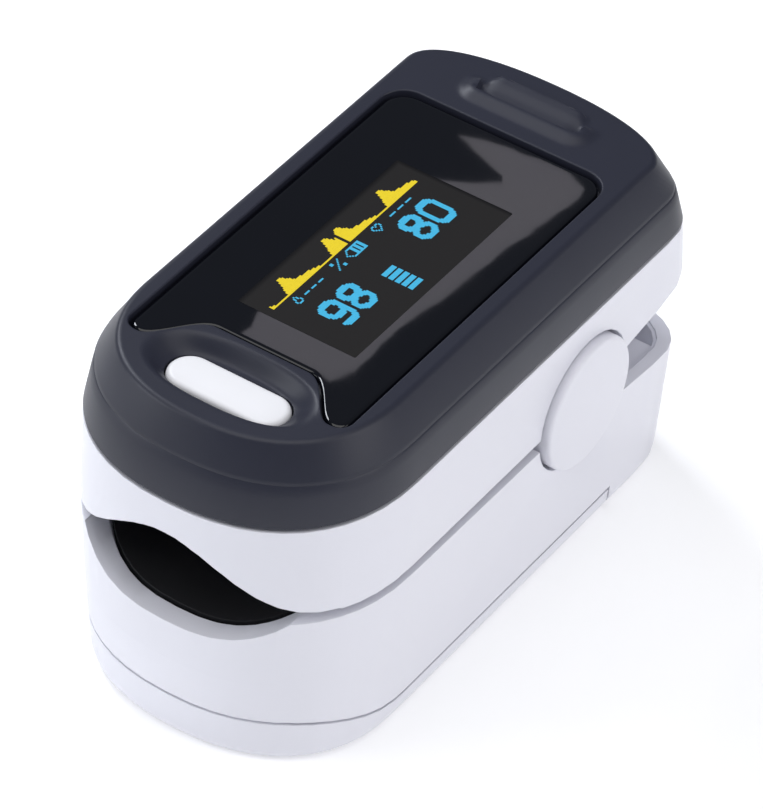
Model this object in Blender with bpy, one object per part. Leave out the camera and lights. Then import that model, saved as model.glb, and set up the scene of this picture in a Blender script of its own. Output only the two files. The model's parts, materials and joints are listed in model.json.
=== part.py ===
"""Fingertip pulse oximeter: two spring-closed jaws, a display, one button and a battery door.

Millimetres below, metres in the scene. +Z is up, the finger goes in at -Y and the hinge is at the
+Y end. The frame's origin is under the middle of the shell, on the surface that it stands on.
"""
import math

import bmesh
import bpy
from mathutils import Matrix, Vector

MM = 0.001

# Overall shell
LENGTH = 62.8
WIDTH = 30.6
HEIGHT = 35.8
FRONT_CAP = 15.1
FRONT_POWER = 2.28
BACK_CAP = 8.5
BACK_POWER = 3.2
WALL = 1.4
GAP = 0.3
FIT = 0.15

# Levels of the shells' edges
RIM_FRONT_Z = 17.7
RIM_HINGE_Z = 17.1
RIM_BEHIND_Z = 14.6
RIM_BACK_Z = 13.2
JAW_GAP = 0.85
REAR_GAPE = 5.4
UPPER_REAR_RISE = 2.2
SEAM_Z = 28.3
CREASE_Z = 32.4

# Lower shell
BOTTOM_EDGE = 1.2
SIDE_TAPER = 0.7
FRONT_TAPER = 1.8
FRONT_EDGE_SHARE = 1.6
LEDGE = 0.3
FLOOR = 1.3
DECK = 0.9

# Finger channel
ARCH_RISE = 6.1
ARCH_HALF = 13.5
DIP_HALF = 10.8
DIP_POWER = 3.2
PAD = 1.2
PAD_PROUD = 0.25
PAD_LIP = 2.6
PAD_BACK_Y = 4.4
PAD_HALF = 12.2
VAULT = 1.05
STOP_HALF = 7.0
STOP_T = 1.2
STOP_RISE = 5.4
STOP_FALL = 1.2

# Hinge
HINGE_Y = 10.5
HINGE_Z = RIM_FRONT_Z + 0.8
PIN_R = 1.5
PIN_RUN = 0.08
CAP_R = 6.5
CAP_PROUD = 0.9
CAP_RUN = 0.35
CAP_EDGE = ((0.0, 0.8), (0.25, 0.25), (0.9, 0.0))
EAR_R = 5.6
EAR_T = 1.6
LUG_R = 4.4
LUG_T = 1.5
LUG_X = 7.9
SPRING_ROOM = 1.9
SPRING_R = 2.2
SPRING_WIRE = 0.22
SPRING_TURNS = 2
SPRING_LEG_BACK = (7.6, 3.7)
SPRING_LEG_FRONT = 4.6
SPRING_LEG_RISE = (0.35, 0.1)

# Battery bay and door
CELL_R = 5.25
CELL_LENGTH = 44.5
CELL_NUB_R = 1.9
CELL_NUB = 1.0
CELL_CLEAR = 0.3
CONTACT_T = 0.3
CONTACT_SIZE = (8.6, 8.0)
BAY_SHIFT = 0.2
COIL_LENGTH = 3.2
COIL_WIRE = 0.3
COIL_TURNS = 3
COIL_RADII = (2.0, 3.6)
DOOR_BACK_Y = 18.0
DOOR_EDGE_Z = 2.2
DOOR_FRONT_Z = 5.0
DOOR_RAMP = (-28.5, -15.0)

# Top cover
COVER_SIDE_DRAFT = 0.45
COVER_FRONT_DRAFT = 1.1
COVER_BACK_DRAFT = 2.8
BACK_LEAN = 1.6
BAND_WIDTH = 1.9
BACK_BAND = 2.0
BAND_ROUND = 0.5
CEILING = 2.6
WINDOW_HALF_X = 11.2
WINDOW_FRONT_Y = -18.0
WINDOW_BACK_Y = 19.0
WINDOW_LOBE_Y = -22.4
WINDOW_LOBE_X = 6.4
WINDOW_CORNER = 2.2
WINDOW_T = 0.9
WINDOW_SINK = 0.3

# Display and button
SCREEN_Y = -1.4
SCREEN_X = 0.6
OLED_SIZE = (19.3, 26.7, 1.4)
BUTTON_Y = -22.7
BUTTON_HALF_X = 6.0
BUTTON_R = 2.15
BUTTON_TOP = 34.8
BUTTON_FLANGE = (0.8, 0.6)
BUTTON_TRAVEL = 0.4
DISH_DEPTH = 1.5
DISH_MARGIN = 0.9
DISH_SLOPE = 0.7

# Thumb grip
GRIP_Y = 22.0
GRIP_HALF_X = 6.0
GRIP_R = 0.75
GRIP_PITCH = 2.6
GRIP_PROUD = 0.35

# Electronics
BOARD_T = 1.0
BOARD_Z = 29.2
BOARD_MARGIN = 1.2
SENSOR_Y = -4.0
EMITTER = (5.4, 4.4, 2.6)
DETECTOR = (4.6, 4.0, 1.1)
SWITCH = (4.4, 4.4, 1.4)
LENS = ((1.6, 0.0), (1.45, 0.3), (0.9, 0.55))
PLUNGER_R = 1.0
PLUNGER_PROUD = 0.4
SCREW_SPOTS = ((11.0, -18.5), (10.5, 22.5))
SCREW_R = 0.95
SCREW_HEAD_R = 1.9
BOSS_R = 2.2
RIBBON_W = 3.0
RIBBON_T = 0.14
RIBBON_BEND = 2.0
RIBBON_REACH = 1.5
BUZZER_R = 4.2
BUZZER_T = 2.0
BUZZER_Y = 23.0
EMITTER_BOARD = (9.0, 8.0, 0.6)
EMITTER_SINK = 0.4
FLEX_HALF = 5.0
FLEX_LOOP = 1.1
FLEX_T = 0.2
# Name, place on the board, size, and 1 for its upper face or -1 for its lower one
CHIPS = (
    ("controller_chip", (0.0, 18.2), (7.0, 7.0, 1.0), 1),
    ("amplifier_chip", (-6.5, 6.0), (4.0, 5.0, 1.1), -1),
    ("clock_crystal", (6.5, 16.5), (1.6, 3.4, 0.8), 1),
    ("charge_inductor", (6.5, 8.0), (4.2, 4.2, 1.6), -1),
)

# Worked out from the sizes above
HALF_L = LENGTH / 2
HALF_W = WIDTH / 2
NOTCH_R = CAP_R + CAP_RUN
UPPER_EDGE_Z = RIM_FRONT_Z + JAW_GAP
UPPER_BEHIND_Z = RIM_BEHIND_Z + REAR_GAPE
CELL_X = CELL_R + GAP + 0.05
CELL_Z = FLOOR + GAP + CELL_R
BAY_TOP = CELL_Z + CELL_R + CELL_CLEAR
DECK_Z = BAY_TOP + DECK
DIP_Z = DECK_Z + GAP + PAD - PAD_PROUD
BAY_HALF_X = CELL_X + CELL_R + 0.4
BAY_LENGTH = CELL_LENGTH + COIL_LENGTH + 2 * CONTACT_T + 4 * GAP
BAY_Y = (BAY_SHIFT - BAY_LENGTH / 2, BAY_SHIFT + BAY_LENGTH / 2)
EAR_X = LUG_X + LUG_T + SPRING_ROOM + GAP
CAP_INNER_X = EAR_X + EAR_T + GAP
CEILING_Z = HEIGHT - CEILING
BOARD_TOP = BOARD_Z + BOARD_T
RIM_SLOPE = (RIM_BEHIND_Z - RIM_BACK_Z) / (HALF_L - HINGE_Y - NOTCH_R)
FAR = 2 * LENGTH


# ---------------------------------------------------------------- outlines and profiles

def superellipse_arc(half, depth, power, count):
    """Half of a superellipse, from +half to -half, bulging towards +depth."""
    points = []
    for step in range(count + 1):
        angle = math.pi * step / count
        cosine, sine = math.cos(angle), math.sin(angle)
        across = math.copysign(abs(cosine) ** (2 / power), cosine)
        points.append((half * across, depth * abs(sine) ** (2 / power)))
    return points


def shell_outline(side=0.0, front=None, back=None):
    """The shells' plan outline, drawn in by side, front and back."""
    front = side if front is None else front
    back = side if back is None else back
    half = HALF_W - side
    front_start = -HALF_L + FRONT_CAP
    back_start = HALF_L - BACK_CAP
    nose = superellipse_arc(half, FRONT_CAP - front, FRONT_POWER, 24)
    tail = superellipse_arc(half, BACK_CAP - back, BACK_POWER, 16)
    outline = [(x, back_start + y) for x, y in tail]
    outline += [(-x, front_start - y) for x, y in nose]
    return outline


def leant_outline(inset=0.0):
    """The shells' outline at the seam, where the upper jaw's back end leans in."""
    return shell_outline(inset, inset, inset + BACK_LEAN)


def stadium(half, radius, count=10):
    """A pill shape along X: half is its half length, radius its round ends'."""
    points = []
    for end in (1, -1):
        for step in range(count + 1):
            angle = math.pi * step / count - math.pi / 2
            centre = end * (half - radius)
            points.append((centre + end * radius * math.cos(angle), end * radius * math.sin(angle)))
    return points


def arc(centre, radius, start, end, count=5):
    """Points on a circle from start to end, in degrees."""
    points = []
    for step in range(count + 1):
        angle = math.radians(start + (end - start) * step / count)
        points.append((centre[0] + radius * math.cos(angle), centre[1] + radius * math.sin(angle)))
    return points


def smooth(value):
    """0 to 1 with level ends."""
    value = min(max(value, 0.0), 1.0)
    return value * value * (3 - 2 * value)


def window_outline(grow=0.0):
    """The display window: round corners at the back, two lobes beside the button's dish."""
    half = WINDOW_HALF_X + grow
    back = WINDOW_BACK_Y + grow
    radius = WINDOW_CORNER + grow
    tip = 0.8 + grow
    points = arc((half - radius, back - radius), radius, 0, 90)
    points += arc((-half + radius, back - radius), radius, 90, 180)
    points += arc((-half + tip, WINDOW_LOBE_Y - grow + tip), tip, 180, 270)
    inner = half - 1.5 * tip
    steps = 12
    for side in (-1, 1):
        sweep = []
        for step in range(steps + 1):
            x = WINDOW_LOBE_X / 2 + (inner - WINDOW_LOBE_X / 2) * step / steps
            rise = smooth((inner - x) / (inner - WINDOW_LOBE_X / 1.3))
            y = WINDOW_LOBE_Y + (WINDOW_FRONT_Y - WINDOW_LOBE_Y) * rise - grow
            sweep.append((side * x, y))
        points += sweep[::-1] if side < 0 else sweep
    points += arc((half - tip, WINDOW_LOBE_Y - grow + tip), tip, 270, 360)
    return points


def arch_z(x, lift=0.0):
    """Underside of the upper shell over the finger."""
    bell = 0.5 * (1 + math.cos(math.pi * min(abs(x) / ARCH_HALF, 1.0)))
    return UPPER_EDGE_Z + FIT + ARCH_RISE * bell + lift


def dip_z(x, lift=0.0):
    """Top of the lower shell under the finger."""
    share = min(abs(x) / DIP_HALF, 1.0) ** DIP_POWER
    return DIP_Z + (RIM_FRONT_Z - DIP_Z) * share + lift


def stop_z(x):
    """Top of the wall that stops the fingertip."""
    return DIP_Z + STOP_RISE - STOP_FALL * (x / STOP_HALF) ** 4


def strip_profile(half, low, high, count=24):
    """A band across X between the heights low(x) and high(x)."""
    across = [half * (2 * step / count - 1) for step in range(count + 1)]
    return [(x, low(x)) for x in across] + [(x, high(x)) for x in reversed(across)]


# ---------------------------------------------------------------- meshes

AXIS_TURN = {
    "X": Matrix(((0, 0, 1), (1, 0, 0), (0, 1, 0))),
    "Y": Matrix(((1, 0, 0), (0, 0, 1), (0, 1, 0))),
    "Z": Matrix.Identity(3),
}


def loft(rings):
    """A closed solid through rings of (outline, z), which have equal numbers of points."""
    mesh = bmesh.new()
    loops = []
    for outline, z in rings:
        loops.append([mesh.verts.new((x * MM, y * MM, z * MM)) for x, y in outline])
    mesh.faces.new(loops[0])
    mesh.faces.new(loops[-1])
    for low, high in zip(loops, loops[1:]):
        for here in range(len(low)):
            after = (here + 1) % len(low)
            mesh.faces.new((low[here], low[after], high[after], high[here]))
    bmesh.ops.recalc_face_normals(mesh, faces=mesh.faces)
    return mesh


def prism(profile, start, end, axis):
    """Extrude a closed profile along an axis: (y, z) along X, (x, z) along Y, (x, y) along Z."""
    mesh = loft([(profile, start), (profile, end)])
    bmesh.ops.transform(mesh, matrix=AXIS_TURN[axis].to_4x4(), verts=mesh.verts)
    bmesh.ops.recalc_face_normals(mesh, faces=mesh.faces)
    return mesh


def box(low, high):
    corners = [(low[0], low[1]), (high[0], low[1]), (high[0], high[1]), (low[0], high[1])]
    return prism(corners, low[2], high[2], "Z")


def block(centre, size):
    low = [c - s / 2 for c, s in zip(centre, size)]
    high = [c + s / 2 for c, s in zip(centre, size)]
    return box(low, high)


def turned(profile, centre, axis, segments=32):
    """Turn (radius, along) points about an axis through centre; the ends are closed with caps."""
    rings = []
    step = 2 * math.pi / segments
    for radius, along in profile:
        circle = [(radius * math.cos(step * k), radius * math.sin(step * k)) for k in range(segments)]
        rings.append((circle, along))
    mesh = loft(rings)
    bmesh.ops.transform(mesh, matrix=AXIS_TURN[axis].to_4x4(), verts=mesh.verts)
    bmesh.ops.translate(mesh, vec=Vector(centre) * MM, verts=mesh.verts)
    bmesh.ops.recalc_face_normals(mesh, faces=mesh.faces)
    return mesh


def rod(radius, start, end, centre=(0, HINGE_Y, HINGE_Z), axis="X", segments=32):
    return turned([(radius, start), (radius, end)], centre, axis, segments)


# ---------------------------------------------------------------- objects

def clear_scene():
    for obj in list(bpy.data.objects):
        bpy.data.objects.remove(obj, do_unlink=True)


def add_body(name, location):
    """An empty that a body's pieces hang from, on the body's joint axis."""
    empty = bpy.data.objects.new(name, None)
    empty.location = Vector(location) * MM
    bpy.context.collection.objects.link(empty)
    return empty


def add_object(name, mesh, body=None):
    data = bpy.data.meshes.new(name)
    origin = body.location.copy() if body else Vector()
    bmesh.ops.translate(mesh, vec=-origin, verts=mesh.verts)
    mesh.to_mesh(data)
    mesh.free()
    obj = bpy.data.objects.new(name, data)
    bpy.context.collection.objects.link(obj)
    obj.parent = body
    return obj


def finish(obj, colour, roughness, metallic=0.0, alpha=1.0):
    """Give an object its own material and shade its round faces smooth."""
    material = bpy.data.materials.new(obj.name)
    material.use_nodes = True
    shader = material.node_tree.nodes["Principled BSDF"]
    shader.inputs["Base Color"].default_value = (*colour, 1.0)
    shader.inputs["Roughness"].default_value = roughness
    shader.inputs["Metallic"].default_value = metallic
    shader.inputs["Alpha"].default_value = alpha
    obj.data.materials.append(material)
    if obj.type == "MESH":
        obj.data.shade_smooth()
        obj.data.set_sharp_from_angle(angle=math.radians(35))
    return obj


def cutter(name, mesh):
    obj = add_object("cut_" + name, mesh)
    obj.hide_render = True
    obj.display_type = "WIRE"
    return obj


def combine(obj, operation, tools):
    """Stack exact Boolean modifiers on an object, one for each tool."""
    for tool in tools:
        modifier = obj.modifiers.new(operation.lower() + "_" + tool.name, "BOOLEAN")
        modifier.operation = operation
        modifier.solver = "EXACT"
        modifier.object = tool
    return obj


def wire(name, points, radius, body):
    """A bent wire: a poly curve with a round bevel and filled caps."""
    curve = bpy.data.curves.new(name, "CURVE")
    curve.dimensions = "3D"
    curve.bevel_depth = radius * MM
    curve.bevel_resolution = 2
    curve.use_fill_caps = True
    spline = curve.splines.new("POLY")
    spline.points.add(len(points) - 1)
    for knot, point in zip(spline.points, points):
        knot.co = (*(Vector(point) * MM - body.location), 1.0)
    obj = bpy.data.objects.new(name, curve)
    bpy.context.collection.objects.link(obj)
    obj.parent = body
    return obj


WHITE = (0.80, 0.80, 0.86)
BLACK = (0.028, 0.029, 0.040)
RUBBER = (0.015, 0.015, 0.018)
STEEL = (0.62, 0.62, 0.64)
BOARD_GREEN = (0.02, 0.16, 0.07)
FLEX_AMBER = (0.45, 0.22, 0.05)
MOULDED = (0.03, 0.03, 0.03)


# ---------------------------------------------------------------- lower jaw

def lower_solid():
    """The lower shell's outer form, drawn in towards the bottom."""
    rings = []
    for angle in (0, 30, 60, 90):
        turn = math.radians(angle)
        inset = BOTTOM_EDGE * (1 - math.sin(turn))
        outline = shell_outline(SIDE_TAPER + inset, FRONT_TAPER + FRONT_EDGE_SHARE * inset)
        rings.append((outline, BOTTOM_EDGE * (1 - math.cos(turn))))
    for share in (0.5, 1.0):
        left = 1 - share
        outline = shell_outline(SIDE_TAPER * left, FRONT_TAPER * left ** 1.5)
        rings.append((outline, BOTTOM_EDGE + (RIM_FRONT_Z + 1 - BOTTOM_EDGE) * share))
    return loft(rings)


def door_profile(grow):
    """Side view of what the battery door covers, as (y, z) points."""
    front, back = DOOR_RAMP
    steps = 8
    points = [(-FAR, -FAR), (-FAR, DOOR_FRONT_Z + grow)]
    for step in range(steps + 1):
        y = front + (back - front) * step / steps
        z = DOOR_FRONT_Z + (DOOR_EDGE_Z - DOOR_FRONT_Z) * smooth(step / steps)
        points.append((y, z + grow))
    points += [(DOOR_BACK_Y + grow, DOOR_EDGE_Z + grow), (DOOR_BACK_Y + grow, -FAR)]
    return points


def rim_profile():
    """Side view of the space over the lower shell's rim, as (y, z) points."""
    behind = HINGE_Y + NOTCH_R
    return [(-HALF_L, RIM_FRONT_Z), (HINGE_Y - NOTCH_R, RIM_HINGE_Z), (HINGE_Y, RIM_HINGE_Z),
            (behind - GAP, RIM_BEHIND_Z), (FAR, RIM_BEHIND_Z - RIM_SLOPE * (FAR - behind)),
            (FAR, FAR), (-FAR, FAR), (-FAR, RIM_FRONT_Z)]


def add_lower_housing(body):
    housing = add_object("lower_housing", lower_solid(), body)
    deck = cutter("deck", prism(shell_outline(WALL), DECK_Z, FAR, "Z"))
    reach = box((-FAR, PAD_BACK_Y + GAP, 0), (FAR, FAR, 2 * FAR))
    combine(deck, "INTERSECT", [cutter("deck_reach", reach)])
    tub = cutter("tub", prism(shell_outline(WALL + LEDGE), DECK_Z / 2, FAR, "Z"))
    combine(tub, "INTERSECT", [cutter("tub_reach", box((-FAR, BAY_Y[1] + DECK, 0), (FAR, FAR, 2 * FAR)))])
    seat_end = PAD_BACK_Y + 2 * GAP
    seat_cut = prism(strip_profile(DIP_HALF, lambda x: dip_z(x, PAD_PROUD - PAD - GAP), lambda x: FAR),
                     -FAR, seat_end, "Y")
    seat = cutter("pad_seat", seat_cut)
    inside = shell_outline(PAD_LIP - GAP)
    combine(seat, "INTERSECT", [cutter("seat_reach", prism(inside, 0, FAR, "Z"))])
    tools = [
        cutter("rim", prism(rim_profile(), -FAR, FAR, "X")),
        cutter("dip", prism(strip_profile(DIP_HALF - FIT, dip_z, lambda x: FAR), -FAR, seat_end + GAP, "Y")),
        seat, deck, tub,
        cutter("door_room", prism(door_profile(GAP), -FAR, FAR, "X")),
        cutter("bay", box((-BAY_HALF_X, BAY_Y[0], FLOOR + 0.1), (BAY_HALF_X, BAY_Y[1], BAY_TOP))),
    ]
    for side in (-1, 1):
        tag = "left" if side < 0 else "right"
        outer = sorted((side * (CAP_INNER_X - FIT), side * FAR))
        tools.append(cutter("cap_notch_" + tag, rod(NOTCH_R, outer[0], outer[1])))
    combine(housing, "DIFFERENCE", tools)
    ears, bores = [], []
    for side in (-1, 1):
        tag = "left" if side < 0 else "right"
        low, high = sorted((side * EAR_X, side * (EAR_X + EAR_T)))
        ear = cutter("ear_" + tag, rod(EAR_R, low, high))
        post = box((low, HINGE_Y - EAR_R, DECK_Z - DECK / 2), (high, HINGE_Y + EAR_R, HINGE_Z))
        combine(ear, "UNION", [cutter("ear_post_" + tag, post)])
        ears.append(ear)
        bores.append(cutter("ear_bore_" + tag, rod(PIN_R + PIN_RUN, low - 1, high + 1)))
    combine(housing, "UNION", ears)
    combine(housing, "DIFFERENCE", bores)
    return finish(housing, WHITE, 0.38)


def add_lower_pad(body):
    """The soft lower pad, with a low wall at its back that stops the fingertip."""
    underside = PAD_PROUD - PAD
    profile = strip_profile(DIP_HALF - FIT, lambda x: dip_z(x, underside), lambda x: dip_z(x, PAD_PROUD))
    pad = add_object("lower_finger_pad", prism(profile, -FAR, PAD_BACK_Y, "Y"), body)
    trim = cutter("lower_pad_trim", prism(shell_outline(PAD_LIP), 0, FAR, "Z"))
    combine(pad, "INTERSECT", [trim])
    stop_profile = strip_profile(STOP_HALF, dip_z, stop_z, 12)
    stop = cutter("finger_stop", prism(stop_profile, PAD_BACK_Y - STOP_T, PAD_BACK_Y - FIT / 2, "Y"))
    combine(pad, "UNION", [stop])
    hole = block((0, SENSOR_Y, DIP_Z), (DETECTOR[0] + 2 * GAP, DETECTOR[1] + 2 * GAP, 4 * PAD))
    combine(pad, "DIFFERENCE", [cutter("detector_hole", hole)])
    return finish(pad, RUBBER, 0.55)


def add_detector(body):
    base = DECK_Z + RIBBON_T + 2 * FIT
    package = add_object("photo_detector", block((0, SENSOR_Y, base + DETECTOR[2] / 2), DETECTOR), body)
    finish(package, (0.12, 0.05, 0.03), 0.25)
    top = base + DETECTOR[2] + FIT
    lens = turned(LENS, (0, SENSOR_Y, top), "Z", 24)
    finish(add_object("detector_lens", lens, body), (0.75, 0.8, 0.85), 0.05)


def add_hinge(body):
    """Pins, outer caps and closing springs, left and right."""
    for side in (-1, 1):
        tag = "left" if side < 0 else "right"
        low, high = sorted((side * (LUG_X - GAP), side * (EAR_X + EAR_T + FIT / 2)))
        pin = add_object("hinge_pin_" + tag, rod(PIN_R, low, high), body)
        finish(pin, STEEL, 0.3, 1.0)
        face = HALF_W + CAP_PROUD
        profile = [(CAP_R, CAP_INNER_X)] + [(CAP_R - inset, face - sink) for inset, sink in CAP_EDGE]
        cap = turned([(r, side * x) for r, x in profile], (0, HINGE_Y, HINGE_Z), "X", 48)
        finish(add_object("hinge_cap_" + tag, cap, body), WHITE, 0.35)
        finish(wire("torsion_spring_" + tag, spring_path(side), SPRING_WIRE, body), STEEL, 0.25, 1.0)


def spring_path(side):
    """Centre line of a torsion spring: a leg under the upper jaw, the coil, a leg on the deck."""
    start = LUG_X + LUG_T + GAP + SPRING_WIRE
    length = SPRING_ROOM - GAP - 2 * SPRING_WIRE
    steps = 16 * SPRING_TURNS
    points = []
    for reach, rise in zip(SPRING_LEG_BACK, SPRING_LEG_RISE):
        points.append((side * start, HINGE_Y + reach, HINGE_Z + rise))
    first, last = math.radians(50), math.radians(-90 - 360 * (SPRING_TURNS - 1))
    for step in range(steps + 1):
        angle = first + (last - 2 * math.pi - first) * step / steps
        x = side * (start + length * step / steps)
        points.append((x, HINGE_Y + SPRING_R * math.cos(angle), HINGE_Z + SPRING_R * math.sin(angle)))
    x = side * (start + length)
    points.append((x, HINGE_Y - SPRING_LEG_FRONT, HINGE_Z - SPRING_R - FIT))
    return points


def add_batteries(body):
    """Two cells side by side, head to tail, with their coils and contact plates."""
    nub_front = BAY_Y[0] + CONTACT_T + 2 * GAP
    nub_back = BAY_Y[1] - CONTACT_T - 2 * GAP
    plate_x, plate_z = CONTACT_SIZE
    for side, tag in ((-1, "left"), (1, "right")):
        tip = nub_front if side < 0 else nub_back
        way = 1 if side < 0 else -1
        stations = [(CELL_NUB_R, 0), (CELL_NUB_R, CELL_NUB), (CELL_R - 0.5, CELL_NUB),
                    (CELL_R, CELL_NUB + 0.5), (CELL_R, CELL_LENGTH - 0.3), (CELL_R - 0.3, CELL_LENGTH)]
        profile = [(r, tip + way * along) for r, along in stations]
        cell = turned(profile, (side * CELL_X, 0, CELL_Z), "Y", 32)
        finish(add_object("battery_cell_" + tag, cell, body), (0.05, 0.22, 0.12), 0.35, 0.3)
        coil_start = tip + way * (CELL_LENGTH + GAP + COIL_WIRE)
        coil_end = coil_start + way * (COIL_LENGTH - 2 * COIL_WIRE)
        path = coil_path((side * CELL_X, CELL_Z), coil_start, coil_end)
        finish(wire("battery_coil_" + tag, path, COIL_WIRE, body), STEEL, 0.25, 1.0)
        plate = block((side * CELL_X, BAY_Y[0] + FIT + CONTACT_T / 2, CELL_Z), (plate_x, CONTACT_T, plate_z))
        finish(add_object("battery_contact_" + tag, plate, body), STEEL, 0.3, 1.0)
    bridge = block((0, BAY_Y[1] - FIT - CONTACT_T / 2, CELL_Z), (2 * CELL_X + plate_x, CONTACT_T, plate_z))
    finish(add_object("battery_bridge", bridge, body), STEEL, 0.3, 1.0)


def coil_path(centre, start, end):
    """A cone-shaped coil along Y, narrow at its start."""
    steps = 14 * COIL_TURNS
    points = []
    for step in range(steps + 1):
        share = step / steps
        angle = 2 * math.pi * COIL_TURNS * share
        radius = COIL_RADII[0] + (COIL_RADII[1] - COIL_RADII[0]) * share
        y = start + (end - start) * share
        points.append((centre[0] + radius * math.cos(angle), y, centre[1] + radius * math.sin(angle)))
    return points


def add_battery_door(body):
    door = add_object("battery_door", lower_solid(), body)
    combine(door, "INTERSECT", [cutter("door_side", prism(door_profile(0.0), -FAR, FAR, "X"))])
    room = box((-BAY_HALF_X, BAY_Y[0], FLOOR), (BAY_HALF_X, FAR, FAR))
    combine(door, "DIFFERENCE", [cutter("door_tray", room)])
    return finish(door, WHITE, 0.38)


# ---------------------------------------------------------------- upper jaw

def edge_profile(lift=0.0):
    """Side view of what lies under the upper shell's lower edge, as (y, z) points."""
    behind = HINGE_Y + NOTCH_R
    slope = UPPER_REAR_RISE / (HALF_L - behind)
    return [(-FAR, -FAR), (-FAR, UPPER_EDGE_Z + lift), (HINGE_Y + GAP, UPPER_EDGE_Z + lift),
            (behind - GAP, UPPER_BEHIND_Z + lift), (FAR, UPPER_BEHIND_Z + slope * (FAR - behind) + lift),
            (FAR, -FAR)]


def vault_profile(half, lift):
    return strip_profile(half, lambda x: -FAR, lambda x: arch_z(x, lift))


def add_upper_housing(body):
    top = SEAM_Z - FIT
    lean_start = UPPER_BEHIND_Z + UPPER_REAR_RISE + GAP
    solid = loft([(shell_outline(), HINGE_Z - 2), (shell_outline(), lean_start), (leant_outline(), top)])
    housing = add_object("upper_housing", solid, body)
    inner = leant_outline(WALL)
    pocket = cutter("pocket", loft([(inner, UPPER_EDGE_Z + WALL), (inner, top + 2)]))
    vault_top = PAD + GAP + VAULT
    tunnel_back = HINGE_Y + 0.9 * NOTCH_R
    keep = [cutter("vault", prism(vault_profile(HALF_W, vault_top), -FAR, tunnel_back + WALL, "Y")),
            cutter("rear_floor", prism(edge_profile(WALL), -FAR, FAR, "X"))]
    for side in (-1, 1):
        tag = "left" if side < 0 else "right"
        low, high = sorted((side * (LUG_X + 0.5), side * FAR))
        keep.append(cutter("drum_" + tag, rod(NOTCH_R + 1.0, low, high)))
    combine(pocket, "DIFFERENCE", keep)
    seat_shape = vault_profile(PAD_HALF + GAP, PAD + GAP)
    seat = cutter("upper_seat", prism(seat_shape, -FAR, PAD_BACK_Y + GAP, "Y"))
    seat_reach = prism(shell_outline(PAD_LIP - GAP), 0, FAR, "Z")
    combine(seat, "INTERSECT", [cutter("upper_seat_reach", seat_reach)])
    emitter_hole = block((0, SENSOR_Y, SEAM_Z), (EMITTER[0] + 2 * GAP, EMITTER[1] + 2 * GAP, 12))
    ribbon_slot = block((0, ribbon_y(), UPPER_BEHIND_Z), (RIBBON_W + 1, 1.4, 12))
    combine(housing, "DIFFERENCE", [
        cutter("edge", prism(edge_profile(), -FAR, FAR, "X")),
        pocket,
        cutter("tunnel", prism(vault_profile(ARCH_HALF, 0.0), -FAR, tunnel_back, "Y")),
        seat,
        cutter("emitter_hole", emitter_hole),
        cutter("ribbon_slot", ribbon_slot),
    ])
    add_lugs_and_bosses(housing)
    return finish(housing, WHITE, 0.38)


def add_lugs_and_bosses(housing):
    """Hinge lugs, their clearances and bores, and the board's screw bosses."""
    lugs, cuts = [], []
    for side in (-1, 1):
        tag = "left" if side < 0 else "right"
        low, high = sorted((side * LUG_X, side * (LUG_X + LUG_T)))
        lug = cutter("lug_" + tag, rod(LUG_R, low, high))
        web_top = UPPER_EDGE_Z + ARCH_RISE / 2 + LUG_T
        web = box((low, HINGE_Y - LUG_R, HINGE_Z), (high, HINGE_Y + LUG_R, web_top))
        combine(lug, "UNION", [cutter("lug_web_" + tag, web)])
        lugs.append(lug)
        near, far = sorted((side * (EAR_X - FIT), side * FAR))
        cuts.append(cutter("ear_room_" + tag, rod(NOTCH_R, near, far)))
        near, far = sorted((side * (LUG_X + LUG_T + 0.01), side * EAR_X))
        cuts.append(cutter("spring_room_" + tag, rod(SPRING_R + 1.0, near, far)))
        cuts.append(cutter("lug_bore_" + tag, rod(PIN_R + PIN_RUN, low - 1, high + 1)))
    for x, y in SCREW_SPOTS:
        over_pad = arch_z(x - BOSS_R, PAD + 2 * GAP)
        floor = over_pad if y < 0 else UPPER_BEHIND_Z + UPPER_REAR_RISE / 2 + WALL / 2
        for side in (-1, 1):
            tag = "%s_%s" % ("left" if side < 0 else "right", "front" if y < 0 else "back")
            spot = (side * x, y, 0)
            lugs.append(cutter("boss_" + tag, rod(BOSS_R, floor, BOARD_Z - GAP, spot, "Z", 20)))
            bore = rod(SCREW_R + FIT, floor + WALL, BOARD_Z + 1, spot, "Z", 16)
            cuts.append(cutter("boss_bore_" + tag, bore))
    combine(housing, "UNION", lugs)
    combine(housing, "DIFFERENCE", cuts)


def add_upper_pad(body):
    profile = strip_profile(PAD_HALF, lambda x: arch_z(x, 0.0), lambda x: arch_z(x, PAD))
    pad = add_object("upper_finger_pad", prism(profile, -FAR, PAD_BACK_Y, "Y"), body)
    combine(pad, "INTERSECT", [cutter("upper_pad_trim", prism(shell_outline(PAD_LIP), 0, FAR, "Z"))])
    hole = block((0, SENSOR_Y, UPPER_EDGE_Z + ARCH_RISE), (EMITTER[0] + 2 * GAP, EMITTER[1] + 2 * GAP, 8))
    combine(pad, "DIFFERENCE", [cutter("upper_pad_hole", hole)])
    return finish(pad, RUBBER, 0.55)


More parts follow.
